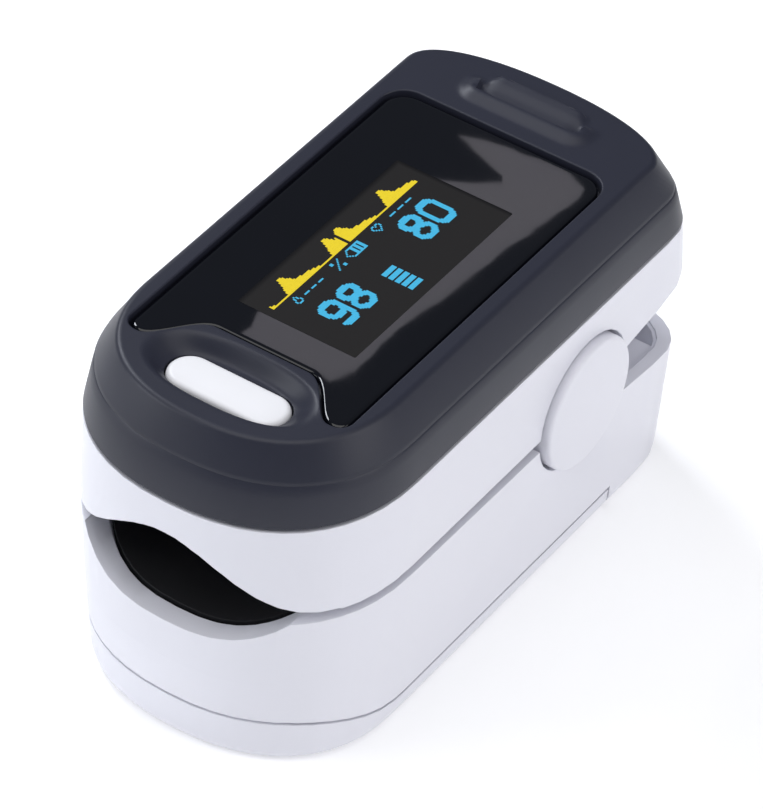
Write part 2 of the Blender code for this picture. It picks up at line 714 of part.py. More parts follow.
def add_top_cover(body):
    band_top = HEIGHT - BAND_ROUND
    ring = COVER_SIDE_DRAFT + BAND_WIDTH
    front = COVER_FRONT_DRAFT + BAND_WIDTH
    back = COVER_BACK_DRAFT + BACK_BAND
    rings = [(leant_outline(), SEAM_Z + FIT),
             (shell_outline(COVER_SIDE_DRAFT, COVER_FRONT_DRAFT, COVER_BACK_DRAFT), CREASE_Z)]
    for inset, z in ((-0.15, band_top), (0.1, HEIGHT - 0.15), (0.5, HEIGHT)):
        rings.append((shell_outline(ring + inset, front + inset, back + inset), z))
    cover = add_object("top_cover", loft(rings), body)
    wall = WALL + COVER_SIDE_DRAFT
    cavity = loft([(leant_outline(WALL), SEAM_Z - 1),
                   (shell_outline(wall, wall, WALL + COVER_BACK_DRAFT), CREASE_Z - 1),
                   (shell_outline(WALL + ring, WALL + front, WALL + back), CEILING_Z)])
    glass_floor = HEIGHT - WINDOW_SINK - WINDOW_T - FIT
    screen = block((SCREEN_X / 2, SCREEN_Y, glass_floor), (OLED_SIZE[0] - 1, OLED_SIZE[1] - 1, 2 * CEILING))
    dish = loft([(stadium(BUTTON_HALF_X + DISH_MARGIN, BUTTON_R + DISH_MARGIN), HEIGHT - DISH_DEPTH),
                 (stadium(BUTTON_HALF_X + DISH_MARGIN + DISH_SLOPE * DISH_DEPTH,
                          BUTTON_R + DISH_MARGIN + DISH_SLOPE * DISH_DEPTH), HEIGHT + 0.2)])
    bmesh.ops.translate(dish, vec=(0, BUTTON_Y * MM, 0), verts=dish.verts)
    hole = prism(stadium(BUTTON_HALF_X + FIT, BUTTON_R + FIT), CEILING_Z - 1, HEIGHT + 1, "Z")
    bmesh.ops.translate(hole, vec=(0, BUTTON_Y * MM, 0), verts=hole.verts)
    combine(cover, "DIFFERENCE", [
        cutter("cover_cavity", cavity),
        cutter("window_recess", prism(window_outline(GAP), glass_floor, HEIGHT + 1, "Z")),
        cutter("screen_view", screen),
        cutter("button_dish", dish),
        cutter("button_hole", hole),
    ])
    combine(cover, "UNION", grip_bars())
    return finish(cover, BLACK, 0.42)


def grip_bars():
    """Two raised bars at the back for the thumb that opens the jaws."""
    bars = []
    for index, half in enumerate((GRIP_HALF_X, GRIP_HALF_X - 1.6)):
        low = stadium(half, GRIP_R)
        high = stadium(half - GRIP_PROUD, GRIP_R - GRIP_PROUD)
        bar = loft([(low, HEIGHT - 1), (low, HEIGHT), (high, HEIGHT + GRIP_PROUD)])
        centre = GRIP_Y + index * GRIP_PITCH
        bmesh.ops.translate(bar, vec=(0, centre * MM, 0), verts=bar.verts)
        bars.append(cutter("grip_bar_%d" % index, bar))
    return bars


def add_window(body):
    low = HEIGHT - WINDOW_SINK - WINDOW_T
    rings = [(window_outline(), low), (window_outline(), low + WINDOW_T - 0.25),
             (window_outline(-0.25), low + WINDOW_T)]
    return finish(add_object("display_window", loft(rings), body), (0.008, 0.009, 0.014), 0.06)


def add_display(body):
    top = CEILING_Z - GAP
    panel = block((0, SCREEN_Y, top - OLED_SIZE[2] / 2), OLED_SIZE)
    finish(add_object("oled_panel", panel, body), (0.02, 0.02, 0.025), 0.15)
    edge = -OLED_SIZE[0] / 2 - FIT
    upper = top - 2 * FLEX_T
    lower = BOARD_TOP + FIT
    loop = [(0, FLEX_T), (FLEX_LOOP, 0)]
    outside = [(edge - out, upper + rise) for out, rise in loop]
    outside += [(edge - out, lower + FLEX_LOOP / 2 - rise * 2.5) for out, rise in reversed(loop)]
    inside = [(edge, lower + FLEX_T), (edge - FLEX_LOOP + FLEX_T, lower + FLEX_LOOP / 2 + FLEX_T / 2),
              (edge - FLEX_LOOP + FLEX_T, upper - FLEX_T / 2), (edge, upper)]
    flex = prism(outside + inside, SCREEN_Y - FLEX_HALF, SCREEN_Y + FLEX_HALF, "Y")
    finish(add_object("oled_flex", flex, body), FLEX_AMBER, 0.35)


def add_board(body):
    margin = WALL + BOARD_MARGIN
    outline = shell_outline(margin, margin + COVER_FRONT_DRAFT, margin + BACK_LEAN)
    board = add_object("main_board", loft([(outline, BOARD_Z), (outline, BOARD_TOP)]), body)
    holes = []
    for x, y in SCREW_SPOTS:
        for side in (-1, 1):
            tag = "%s_%s" % ("left" if side < 0 else "right", "front" if y < 0 else "back")
            spot = (side * x, y, 0)
            hole = rod(SCREW_R + 2 * FIT, BOARD_Z - 1, BOARD_TOP + 1, spot, "Z", 16)
            holes.append(cutter("board_hole_" + tag, hole))
            add_board_screw(tag, spot, body)
    combine(board, "DIFFERENCE", holes)
    finish(board, BOARD_GREEN, 0.45)
    for name, spot, size, way in CHIPS:
        face = BOARD_TOP + FIT if way > 0 else BOARD_Z - FIT
        centre = (spot[0], spot[1], face + way * size[2] / 2)
        finish(add_object(name, block(centre, size), body), MOULDED, 0.5)
    buzzer = rod(BUZZER_R, BOARD_Z - FIT - BUZZER_T, BOARD_Z - FIT, (0, BUZZER_Y, 0), "Z", 28)
    finish(add_object("buzzer", buzzer, body), MOULDED, 0.5)


def add_board_screw(tag, spot, body):
    stations = [(SCREW_R * 0.6, BOARD_Z - 4.4), (SCREW_R, BOARD_Z - 3.8), (SCREW_R, BOARD_TOP + FIT),
                (SCREW_HEAD_R, BOARD_TOP + FIT), (SCREW_HEAD_R, BOARD_TOP + FIT + 0.7),
                (SCREW_HEAD_R - 0.5, BOARD_TOP + FIT + 1.0)]
    screw = turned(stations, spot, "Z", 20)
    finish(add_object("board_screw_" + tag, screw, body), STEEL, 0.3, 1.0)


def add_emitter(body):
    """The light source over the finger, on a small board of its own."""
    low = arch_z(0.0) + EMITTER_SINK
    package = block((0, SENSOR_Y, low + EMITTER[2] / 2), EMITTER)
    finish(add_object("emitter_led", package, body), (0.85, 0.85, 0.82), 0.3)
    board = block((0, SENSOR_Y, low + EMITTER[2] + FIT + EMITTER_BOARD[2] / 2), EMITTER_BOARD)
    finish(add_object("emitter_board", board, body), BOARD_GREEN, 0.45)


def add_switch(body, plunger_body):
    base = BOARD_TOP + FIT
    case = add_object("switch_body", block((0, BUTTON_Y, base + SWITCH[2] / 2), SWITCH), body)
    bore = rod(PLUNGER_R + FIT, base + 0.2, base + SWITCH[2] + 1, (0, BUTTON_Y, 0), "Z", 20)
    combine(case, "DIFFERENCE", [cutter("switch_bore", bore)])
    finish(case, MOULDED, 0.45)
    low = base + 0.2 + BUTTON_TRAVEL + FIT
    plunger = rod(PLUNGER_R, low, base + SWITCH[2] + PLUNGER_PROUD, (0, BUTTON_Y, 0), "Z", 20)
    finish(add_object("switch_plunger", plunger, plunger_body), (0.7, 0.7, 0.65), 0.4)


def add_button(body):
    margin, thickness = BUTTON_FLANGE
    low = BOARD_TOP + FIT + SWITCH[2] + PLUNGER_PROUD + GAP
    flange = stadium(BUTTON_HALF_X + margin, BUTTON_R + margin)
    pill = stadium(BUTTON_HALF_X, BUTTON_R)
    rings = [(flange, low), (flange, low + thickness), (pill, low + thickness), (pill, BUTTON_TOP - 0.5),
             (stadium(BUTTON_HALF_X - 0.15, BUTTON_R - 0.15), BUTTON_TOP - 0.15),
             (stadium(BUTTON_HALF_X - 0.5, BUTTON_R - 0.5), BUTTON_TOP)]
    button = loft(rings)
    bmesh.ops.translate(button, vec=(0, BUTTON_Y * MM, 0), verts=button.verts)
    return finish(add_object("power_button", button, body), (0.9, 0.9, 0.92), 0.3)


def ribbon_y():
    return HALF_L - WALL - 6.5


def add_ribbon(body):
    """The flat cable from the detector along the deck, then up into the upper jaw."""
    low = DECK_Z + FIT / 2
    bend = RIBBON_BEND
    turn_y = ribbon_y() - bend
    top = UPPER_BEHIND_Z + UPPER_REAR_RISE + WALL + RIBBON_REACH
    outer = [(SENSOR_Y - 1, low)] + arc((turn_y, low + bend), bend, 270, 360, 6) + [(turn_y + bend, top)]
    inner = [(turn_y + bend - RIBBON_T, top)] + arc((turn_y, low + bend), bend - RIBBON_T, 360, 270, 6)
    inner.append((SENSOR_Y - 1, low + RIBBON_T))
    ribbon = prism(outer + inner, -RIBBON_W / 2, RIBBON_W / 2, "X")
    return finish(add_object("sensor_ribbon", ribbon, body), FLEX_AMBER, 0.35)


def main():
    clear_scene()
    lower = add_body("lower_jaw", (0, 0, 0))
    upper = add_body("upper_jaw", (0, HINGE_Y, HINGE_Z))
    door = add_body("door_slide", (0, DOOR_BACK_Y, 0))
    button = add_body("button_slide", (0, BUTTON_Y, BUTTON_TOP))
    plunger = add_body("plunger_slide", (0, BUTTON_Y, BOARD_TOP))
    add_lower_housing(lower)
    add_lower_pad(lower)
    add_detector(lower)
    add_ribbon(lower)
    add_hinge(lower)
    add_batteries(lower)
    add_battery_door(door)
    add_upper_housing(upper)
    add_upper_pad(upper)
    add_emitter(upper)
    add_board(upper)
    add_switch(upper, plunger)
    add_display(upper)
    add_window(upper)
    add_top_cover(upper)
    add_button(button)


main()
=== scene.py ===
"""The looks of a fingertip pulse oximeter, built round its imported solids.

Sizes are in metres, written as millimetres times MM. +Z is up, the finger goes in at -Y and the hinge
is towards +Y. Each operator makes one piece or one group of like pieces.
"""

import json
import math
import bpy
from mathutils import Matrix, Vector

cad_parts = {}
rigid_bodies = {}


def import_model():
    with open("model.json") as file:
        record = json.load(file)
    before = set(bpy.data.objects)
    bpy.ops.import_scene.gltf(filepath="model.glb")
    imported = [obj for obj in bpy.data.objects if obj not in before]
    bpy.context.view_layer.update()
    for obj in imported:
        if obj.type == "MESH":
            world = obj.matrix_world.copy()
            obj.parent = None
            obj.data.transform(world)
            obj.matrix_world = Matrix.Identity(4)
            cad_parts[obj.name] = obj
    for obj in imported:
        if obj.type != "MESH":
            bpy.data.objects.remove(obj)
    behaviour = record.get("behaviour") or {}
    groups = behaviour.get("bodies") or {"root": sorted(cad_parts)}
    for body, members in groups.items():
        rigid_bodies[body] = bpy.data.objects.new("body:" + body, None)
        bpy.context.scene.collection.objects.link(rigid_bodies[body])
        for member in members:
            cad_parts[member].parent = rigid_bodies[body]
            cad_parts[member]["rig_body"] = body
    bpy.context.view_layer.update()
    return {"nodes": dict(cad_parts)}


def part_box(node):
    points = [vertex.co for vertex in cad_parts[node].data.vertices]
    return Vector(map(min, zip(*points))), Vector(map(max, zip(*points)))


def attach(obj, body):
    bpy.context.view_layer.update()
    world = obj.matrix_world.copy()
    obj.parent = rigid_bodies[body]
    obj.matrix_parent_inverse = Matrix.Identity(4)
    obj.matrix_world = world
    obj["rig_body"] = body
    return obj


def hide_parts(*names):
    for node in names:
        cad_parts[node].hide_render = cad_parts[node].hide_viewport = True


bl_info = {
    "name": "Fingertip Pulse Oximeter",
    "version": (1, 0, 0),
    "blender": (4, 5, 0),
    "location": "View3D > Sidebar > Oximeter",
    "description": "Builds the visible pieces, finishes and stage of a clip-on pulse oximeter",
    "category": "Object",
}

import bmesh
import bpy
import numpy as np
from bpy.props import FloatProperty, FloatVectorProperty, IntProperty, PointerProperty
from mathutils import Matrix, Vector

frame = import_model()

MM = 0.001
RING = 512
SHARP = math.radians(38)

SHELL_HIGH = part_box("upper_housing")[1]
COVER_LOW, COVER_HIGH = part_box("top_cover")
WINDOW_LOW, WINDOW_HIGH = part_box("display_window")
BUTTON_LOW, BUTTON_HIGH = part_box("power_button")
CAP_LOW, CAP_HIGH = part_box("hinge_cap_right")

HALF_WIDTH = SHELL_HIGH.x
HALF_LENGTH = SHELL_HIGH.y
SEAM_LEAN = HALF_LENGTH - COVER_HIGH.y
WINDOW_SINK = 0.3 * MM
CROWN = WINDOW_HIGH.z + WINDOW_SINK
CENTRE = Vector((0.0, -1.0 * MM))

BUTTON_Y = (BUTTON_LOW.y + BUTTON_HIGH.y) / 2
BUTTON_FLANGE = 0.8 * MM
BUTTON_HALF = (BUTTON_HIGH.x - BUTTON_LOW.x) / 2 - BUTTON_FLANGE
BUTTON_RADIUS = (BUTTON_HIGH.y - BUTTON_LOW.y) / 2 - BUTTON_FLANGE
BUTTON_CLEARANCE = 0.15 * MM

# The plan outline that the shells and the cover share
NOSE_DEPTH = 15.1 * MM
NOSE_POWER = 2.28
TAIL_DEPTH = 8.5 * MM
TAIL_POWER = 3.2
# The cover's tail gets rounder at its crease and at its crown
CREASE_POWER = 2.7
CROWN_POWER = 2.2


# ---------------------------------------------------------------- settings

def length(name, description, default):
    return FloatProperty(name=name, description=description, default=default, unit="LENGTH",
                         subtype="DISTANCE")


def colour(name, description, default):
    return FloatVectorProperty(name=name, description=description, default=default, subtype="COLOR",
                               size=3, min=0.0, max=1.0)


class CoverSettings(bpy.types.PropertyGroup):
    wall: length("Wall", "Thickness of the cover's side wall", 1.4 * MM)
    crease: length("Crease height", "Height of the line between side wall and sloping band", 32.4 * MM)
    crease_inset: length("Crease inset", "How far the wall leans in at the sides", 0.45 * MM)
    crease_front: length("Crease front inset", "How far the wall leans in at the nose", 1.2 * MM)
    crease_back: length("Crease back inset", "How far the wall leans in at the back", 2.5 * MM)
    ridge_inset: length("Ridge inset", "From the shell's side to the crown's edge", 2.45 * MM)
    ridge_front: length("Ridge front inset", "From the shell's nose to the crown's edge", 2.9 * MM)
    ridge_back: length("Ridge back inset", "From the shell's back to the crown's edge", 3.8 * MM)
    ridge_round: length("Ridge radius", "Rounding of the crown's edge", 0.7 * MM)
    dish_half_x: length("Dish half length", "Half the length of the hollow round the button", 8.4 * MM)
    dish_half_y: length("Dish half width", "Half the width of the hollow round the button", 3.95 * MM)
    dish_shift: length("Dish shift", "How far the hollow's middle lies behind the button's", 0.2 * MM)
    dish_depth: length("Dish depth", "Depth of the hollow round the button", 1.5 * MM)
    grip_height: length("Grip height", "Height of the thumb grip's ridges", 0.5 * MM)


class WindowSettings(bpy.types.PropertyGroup):
    half_x: length("Half width", "Half the window's width", 11.05 * MM)
    back_y: length("Back edge", "Place of the window's back edge", 18.7 * MM)
    front_y: length("Front edge", "Place of the window's front edge behind the button", -17.6 * MM)
    lobe_y: length("Lobe tip", "Place of the window's two front corners", -22.0 * MM)
    corner: length("Corner radius", "Radius of the window's back corners", 2.2 * MM)
    bevel: length("Edge bevel", "Width of the polished edge", 0.42 * MM)
    gap: length("Edge gap", "Width of the groove round the window", 0.3 * MM)


class ScreenSettings(bpy.types.PropertyGroup):
    low_x: length("Upper edge", "Place of the screen's upper edge across the part", -5.45 * MM)
    high_x: length("Lower edge", "Place of the screen's lower edge across the part", 6.63 * MM)
    low_y: length("Left edge", "Place of the screen's left edge along the part", -13.78 * MM)
    high_y: length("Right edge", "Place of the screen's right edge along the part", 10.3 * MM)
    dot: length("Dot pitch", "Distance between the dots", 0.17 * MM)
    first_x: length("First row", "Place of the first row of dots", -4.87 * MM)
    first_y: length("First column", "Place of the first column of dots", -12.9 * MM)
    left_figure: IntProperty(name="Left figure", description="Saturation that the screen shows", default=98)
    right_figure: IntProperty(name="Right figure", description="Pulse rate that the screen shows", default=80)


class ShellSettings(bpy.types.PropertyGroup):
    edge: length("Edge rounding", "Rounding of the white shells' edges", 0.2 * MM)
    pad_edge: length("Pad rounding", "Rounding of the soft pads' edges", 0.3 * MM)
    cap_dome: length("Cap dome", "How far the hinge caps' faces bulge", 0.12 * MM)
    cap_edge: length("Cap rounding", "Rounding of the hinge caps' rims", 0.45 * MM)


class ColourSettings(bpy.types.PropertyGroup):
    shell: colour("Shells", "White of the two shells", (0.77, 0.77, 0.83))
    cover: colour("Cover", "Black of the top cover", (0.022, 0.0238, 0.0385))
    window: colour("Window", "Tint of the window", (0.002, 0.0025, 0.005))
    pads: colour("Pads", "Black of the soft finger pads", (0.010, 0.010, 0.012))
    button: colour("Button", "White of the push button", (0.88, 0.88, 0.90))
    screen: colour("Screen", "Grey of the screen between its dots", (0.020, 0.019, 0.019))
    trace: colour("Trace", "Yellow of the pulse trace", (0.93, 0.72, 0.012))
    figures: colour("Figures", "Blue of the figures", (0.055, 0.52, 0.86))


class StageSettings(bpy.types.PropertyGroup):
    floor: colour("Floor", "Colour of the floor", (0.93, 0.93, 0.93))
    camera_place: FloatVectorProperty(name="Camera", description="Place of the camera", size=3,
                                      default=(0.1952, -0.3150, 0.3413), subtype="TRANSLATION", unit="LENGTH")
    softbox_height: length("Softbox height", "Height of the panel that the window mirrors", 0.9355)
    softbox_glow: FloatProperty(name="Softbox glow", description="Brightness of that panel", default=0.95)
    focal: FloatProperty(name="Focal length", description="Lens, in millimetres for a 36 mm sensor",
                         default=249.2)


SETTINGS = {
    "oximeter_cover": CoverSettings,
    "oximeter_window": WindowSettings,
    "oximeter_screen": ScreenSettings,
    "oximeter_shell": ShellSettings,
    "oximeter_colours": ColourSettings,
    "oximeter_stage": StageSettings,
}


# ---------------------------------------------------------------- shader maths

class Wire:
    """An output socket that works in sums like a number; each operation adds its Math node."""

    def __init__(self, recipe, socket):
        self.recipe = recipe
        self.socket = socket

    def maths(self, operation, first, second=0.0):
        return self.recipe.node("ShaderNodeMath", {"operation": operation}, {0: first, 1: second})

    def __add__(self, other):
        return self.maths("ADD", self, other)

    def __sub__(self, other):
        return self.maths("SUBTRACT", self, other)

    def __rsub__(self, other):
        return self.maths("SUBTRACT", other, self)

    def __mul__(self, other):
        return self.maths("MULTIPLY", self, other)

    def __truediv__(self, other):
        return self.maths("DIVIDE", self, other)

    def __rtruediv__(self, other):
        return self.maths("DIVIDE", other, self)

    def __gt__(self, other):
        return self.maths("GREATER_THAN", self, other)

    def __lt__(self, other):
        return self.maths("LESS_THAN", self, other)

    def __abs__(self):
        return self.maths("ABSOLUTE", self)

    def sine(self):
        return self.maths("SINE", self)

    def smaller(self, other):
        return self.maths("MINIMUM", self, other)

    __radd__ = __add__
    __rmul__ = __mul__


class Recipe:
    """A material, its Principled shader and the ways to add nodes to it."""

    def __init__(self, name, base, roughness, metallic=0.0, **plain):
        self.material = bpy.data.materials.new(name)
        self.material.use_nodes = True
        self.tree = self.material.node_tree
        self.shader = self.tree.nodes["Principled BSDF"]
        self.base = (*base, 1.0)
        self.set("Base Color", self.base)
        self.set("Roughness", roughness)
        self.set("Metallic", metallic)
        for socket, value in plain.items():
            self.set(socket.replace("_", " ").title().replace("Ior", "IOR"), value)
        self.places = self.node("ShaderNodeTexCoord", output="Object")

    def set(self, socket, value):
        self.join(self.shader.inputs[socket], value)

    def join(self, target, value):
        if isinstance(value, Wire):
            self.tree.links.new(value.socket, target)
        else:
            target.default_value = value

    def node(self, kind, settings=None, values=None, output=0):
        made = self.tree.nodes.new(kind)
        for name, value in (settings or {}).items():
            if name == "stops":
                self.set_stops(made.color_ramp, value)
            else:
                setattr(made, name, value)
        for socket, value in (values or {}).items():
            self.join(made.inputs[socket], value)
        return Wire(self, made.outputs[output])

    def set_stops(self, ramp, stops):
        while len(ramp.elements) < len(stops):
            ramp.elements.new(1.0)
        for element, (position, value) in zip(ramp.elements, stops):
            element.position = position
            element.color = value

    def noise(self, size, detail=3.0, stretch=(1.0, 1.0, 1.0)):
        """Noise whose features are about size metres across, drawn out along an axis by stretch."""
        mapped = self.node("ShaderNodeMapping", values={"Vector": self.places, "Scale": stretch})
        values = {"Vector": mapped, "Scale": 1.0 / size, "Detail": detail}
        return self.node("ShaderNodeTexNoise", values=values, output="Fac")

    def axis(self, letter):
        return self.node("ShaderNodeSeparateXYZ", values={"Vector": self.places}, output=letter)

    def wave(self, letter, pitch):
        """A sine wave along an axis, from -1 to 1."""
        return (self.axis(letter) * (2 * math.pi / pitch)).sine()

    def blend(self, mask, first, second):
        """Colour first where mask is 0 and second where it is 1."""
        values = {"Factor": mask, 6: first, 7: second}
        return self.node("ShaderNodeMix", {"data_type": "RGBA"}, values, output=2)

    def shade(self, mask, share):
        """Darken the base colour by share where mask is 1."""
        dark = tuple(channel * (1 - share) for channel in self.base[:3])
        self.set("Base Color", self.blend(mask, self.base, (*dark, 1.0)))

    def vary_roughness(self, mask, low, high):
        self.set("Roughness", mask * (high - low) + low)

    def bump(self, height, depth, strength=1.0, rounding=0.0):
        """Raise the surface by height times depth; rounding softens the light on sharp edges."""
        values = {"Height": height, "Distance": depth, "Strength": strength}
        if rounding:
            values["Normal"] = self.node("ShaderNodeBevel", {"samples": 6}, {"Radius": rounding})
        self.set("Normal", self.node("ShaderNodeBump", values=values))


# ---------------------------------------------------------------- finishes

def palette():
    return bpy.context.scene.oximeter_colours


def satin_cover():
    """Moulded black plastic: a fine spark-eroded grain under a faint sheen."""
    look = Recipe("satin_black_abs", palette().cover, 0.42, specular_ior_level=0.34)
    cloud = look.noise(9 * MM, 2.0)
    grain = look.noise(0.11 * MM, 2.0)
    look.shade(cloud, 0.18)
    look.vary_roughness(cloud * 0.6 + grain * 0.4, 0.36, 0.47)
    look.bump(grain, 0.006 * MM)
    return look.material


def white_shell(name="white_abs", ribs=False):
    """Moulded white plastic, a little lavender, with a soft gloss and very faint flow marks."""
    look = Recipe(name, palette().shell, 0.34, specular_ior_level=0.45)
    cloud = look.noise(14 * MM, 2.0)
    flow = look.noise(2.2 * MM, 3.0, (0.35, 1.0, 1.0))
    grain = look.noise(0.16 * MM, 2.0)
    look.shade(cloud, 0.035)
    look.vary_roughness(flow * 0.5 + grain * 0.5, 0.28, 0.40)
    height = flow * 0.7 + grain * 0.3
    if ribs:
        height = height + thumb_ribs(look) * 40.0
    look.bump(height, 0.004 * MM, rounding=0.12 * MM)
    return look.material


def thumb_ribs(look):
    """A mask of the cross ribs under the front of the battery door."""
    across = abs(look.axis("X")) < 6.5 * MM
    along = abs(look.axis("Y") + 17.0 * MM) < 5.6 * MM
    under = look.axis("Z") < 0.2 * MM
    return (look.wave("Y", 1.6 * MM) > 0.2) * along * across * under


def gloss_window():
    """Polished tinted acrylic with the faintest polishing haze."""
    look = Recipe("window_acrylic", palette().window, 0.015, ior=1.49)
    haze = look.noise(6 * MM, 2.0)
    look.vary_roughness(haze, 0.008, 0.022)
    look.shade(haze, 0.3)
    look.bump(look.noise(5 * MM, 1.0), 0.0015 * MM)
    return look.material


def soft_silicone():
    """Black silicone: matt, with a fine tooth and slightly dusty patches."""
    look = Recipe("silicone", palette().pads, 0.6)
    tooth = look.noise(0.09 * MM, 3.0)
    patch = look.noise(4 * MM, 3.0)
    look.shade(patch, 0.35)
    look.vary_roughness(patch * 0.5 + tooth * 0.5, 0.42, 0.70)
    look.bump(tooth, 0.008 * MM)
    return look.material


def button_white():
    look = Recipe("button_abs", palette().button, 0.38)
    grain = look.noise(0.12 * MM, 2.0)
    cloud = look.noise(3 * MM, 2.0)
    look.shade(cloud, 0.03)
    look.vary_roughness(grain, 0.32, 0.44)
    look.bump(grain, 0.003 * MM)
    return look.material


def screen_grey():
    """The screen between its dots: dark grey, with painted shade under its two far edges."""
    screen = bpy.context.scene.oximeter_screen
    look = Recipe("screen_glass", palette().screen, 0.5, specular_ior_level=0.05)
    # Painted shade: the grey fades to near black within about half a millimetre of the screen's top and end
    # edges.
    from_top = (look.axis("X") - screen.low_x) / (0.55 * MM)
    from_end = (screen.high_y - look.axis("Y")) / (0.5 * MM)
    ramp = {"stops": ((0.0, (0, 0, 0, 1)), (1.0, (1, 1, 1, 1)))}
    light = look.node("ShaderNodeValToRGB", ramp, {"Fac": from_top.smaller(from_end)})
    look.set("Base Color", look.blend(light, (0.006, 0.006, 0.007, 1.0), look.base))
    look.vary_roughness(look.noise(2 * MM, 1.0), 0.45, 0.55)
    return look.material


def lit_dots(name, tint):
    """Lit dots in bright and dim rows, a little uneven."""
    screen = bpy.context.scene.oximeter_screen
    look = Recipe(name, tint, 0.5, specular_ior_level=0.1, emission_strength=1.0)
    rows = look.wave("X", screen.dot)
    patch = look.noise(0.5 * MM, 2.0)
    dim = tuple(channel * 0.80 for channel in tint)
    mask = rows * 0.25 + patch * 0.5 + 0.25
    look.set("Emission Color", look.blend(mask, (*dim, 1.0), look.base))
    look.set("Base Color", (0.02, 0.02, 0.02, 1.0))
    return look.material


def nickel(name="nickel_steel", roughness=0.26):
    """Nickel-plated steel with faint drawing lines."""
    look = Recipe(name, (0.66, 0.65, 0.63), roughness, 1.0)
    lines = look.noise(0.12 * MM, 3.0, (1.0, 0.12, 1.0))
    stain = look.noise(2 * MM, 2.0)
    look.shade(stain, 0.16)
    look.vary_roughness(lines, roughness - 0.08, roughness + 0.12)
    look.bump(lines, 0.002 * MM)
    return look.material


def solder_mask():
    """A green board: darker tracks seen through the mask, and small plated holes."""
    look = Recipe("board_green", (0.018, 0.15, 0.06), 0.4)
    cells = look.node("ShaderNodeTexVoronoi", {"feature": "DISTANCE_TO_EDGE"},
                      {"Vector": look.places, "Scale": 1 / (1.6 * MM)}, output="Distance")
    tracks = cells < 0.08
    dots = look.node("ShaderNodeTexVoronoi", {}, {"Vector": look.places, "Scale": 1 / (2.3 * MM)},
                     output="Distance")
    spots = dots < 0.10
    green = look.blend(tracks, look.base, (0.03, 0.27, 0.11, 1.0))
    look.set("Base Color", look.blend(spots, green, (0.72, 0.60, 0.34, 1.0)))
    look.set("Metallic", spots * 0.9)
    look.vary_roughness(look.noise(1 * MM, 2.0), 0.32, 0.5)
    look.bump(tracks + spots, 0.02 * MM)
    return look.material


def moulded(name, base, low=0.45, high=0.65, depth=0.006):
    """A plain moulded or cast finish with a fine grain."""
    look = Recipe(name, base, low)
    grain = look.noise(0.12 * MM, 3.0)
    look.shade(look.noise(1.5 * MM, 2.0), 0.2)
    look.vary_roughness(grain, low, high)
    look.bump(grain, depth * MM)
    return look.material


def clear_epoxy(name, base, roughness=0.08):
    look = Recipe(name, base, roughness, ior=1.5, coat_weight=0.6)
    look.shade(look.noise(0.8 * MM, 2.0), 0.15)
    look.vary_roughness(look.noise(0.4 * MM, 2.0), roughness, roughness + 0.1)
    look.bump(look.noise(0.6 * MM, 1.0), 0.003 * MM)
    return look.material


def amber_flex():
    """Polyimide film with its copper tracks showing as lines along it."""
    look = Recipe("flex_film", (0.40, 0.17, 0.03), 0.3, coat_weight=0.3)
    wave = look.wave("X", 0.42 * MM)
    look.set("Base Color", look.blend(wave > 0.1, look.base, (0.62, 0.30, 0.07, 1.0)))
    look.vary_roughness(look.noise(1 * MM, 2.0), 0.22, 0.4)
    look.bump(wave, 0.01 * MM)
    return look.material


def sleeve_print():
    """The cells' printed sleeve: dark green with a copper-coloured band and a shrink seam."""
    look = Recipe("cell_sleeve", (0.012, 0.10, 0.055), 0.24, coat_weight=0.5)
    along = look.axis("Y")
    from_band = abs(along + 12.0 * MM)
    band = from_band < 4.5 * MM
    line = abs(from_band - 5.6 * MM) < 0.35 * MM
    copper = look.blend(band, look.base, (0.52, 0.23, 0.08, 1.0))
    look.set("Base Color", look.blend(line, copper, (0.75, 0.75, 0.72, 1.0)))
    look.set("Metallic", band * 0.7)
    wrinkle = look.noise(1.6 * MM, 3.0, (1.0, 0.15, 1.0))
    look.vary_roughness(wrinkle, 0.2, 0.34)
    look.bump(wrinkle, 0.02 * MM)
    return look.material


# ---------------------------------------------------------------- outlines

def superellipse_arc(half, depth, power, count):
    """Half of a superellipse, from +half to -half, bulging towards +depth."""
    points = []
    for step in range(count + 1):
        angle = math.pi * step / count
        cosine, sine = math.cos(angle), math.sin(angle)
        across = math.copysign(abs(cosine) ** (2 / power), cosine)
        points.append((half * across, depth * abs(sine) ** (2 / power)))
    return points


def shell_outline(side=0.0, front=None, back=None, tail_power=TAIL_POWER):
    """The shells' plan outline, drawn in by side, and by front and back at its ends."""
    front = side if front is None else front
    back = side if back is None else back
    half = HALF_WIDTH - side
    nose_start = NOSE_DEPTH - HALF_LENGTH
    tail_start = HALF_LENGTH - TAIL_DEPTH
    nose = superellipse_arc(half, NOSE_DEPTH - front, NOSE_POWER, 96)
    tail = superellipse_arc(half, TAIL_DEPTH - back, tail_power, 64)
    return [(x, tail_start + y) for x, y in tail] + [(-x, nose_start - y) for x, y in nose]


def arc(centre, radius, start, end, count=8):
    """Points on a circle from start to end, in degrees."""
    points = []
    for step in range(count + 1):
        angle = math.radians(start + (end - start) * step / count)
        points.append((centre[0] + radius * math.cos(angle), centre[1] + radius * math.sin(angle)))
    return points


def smooth(value):
    value = min(max(value, 0.0), 1.0)
    return value * value * (3 - 2 * value)


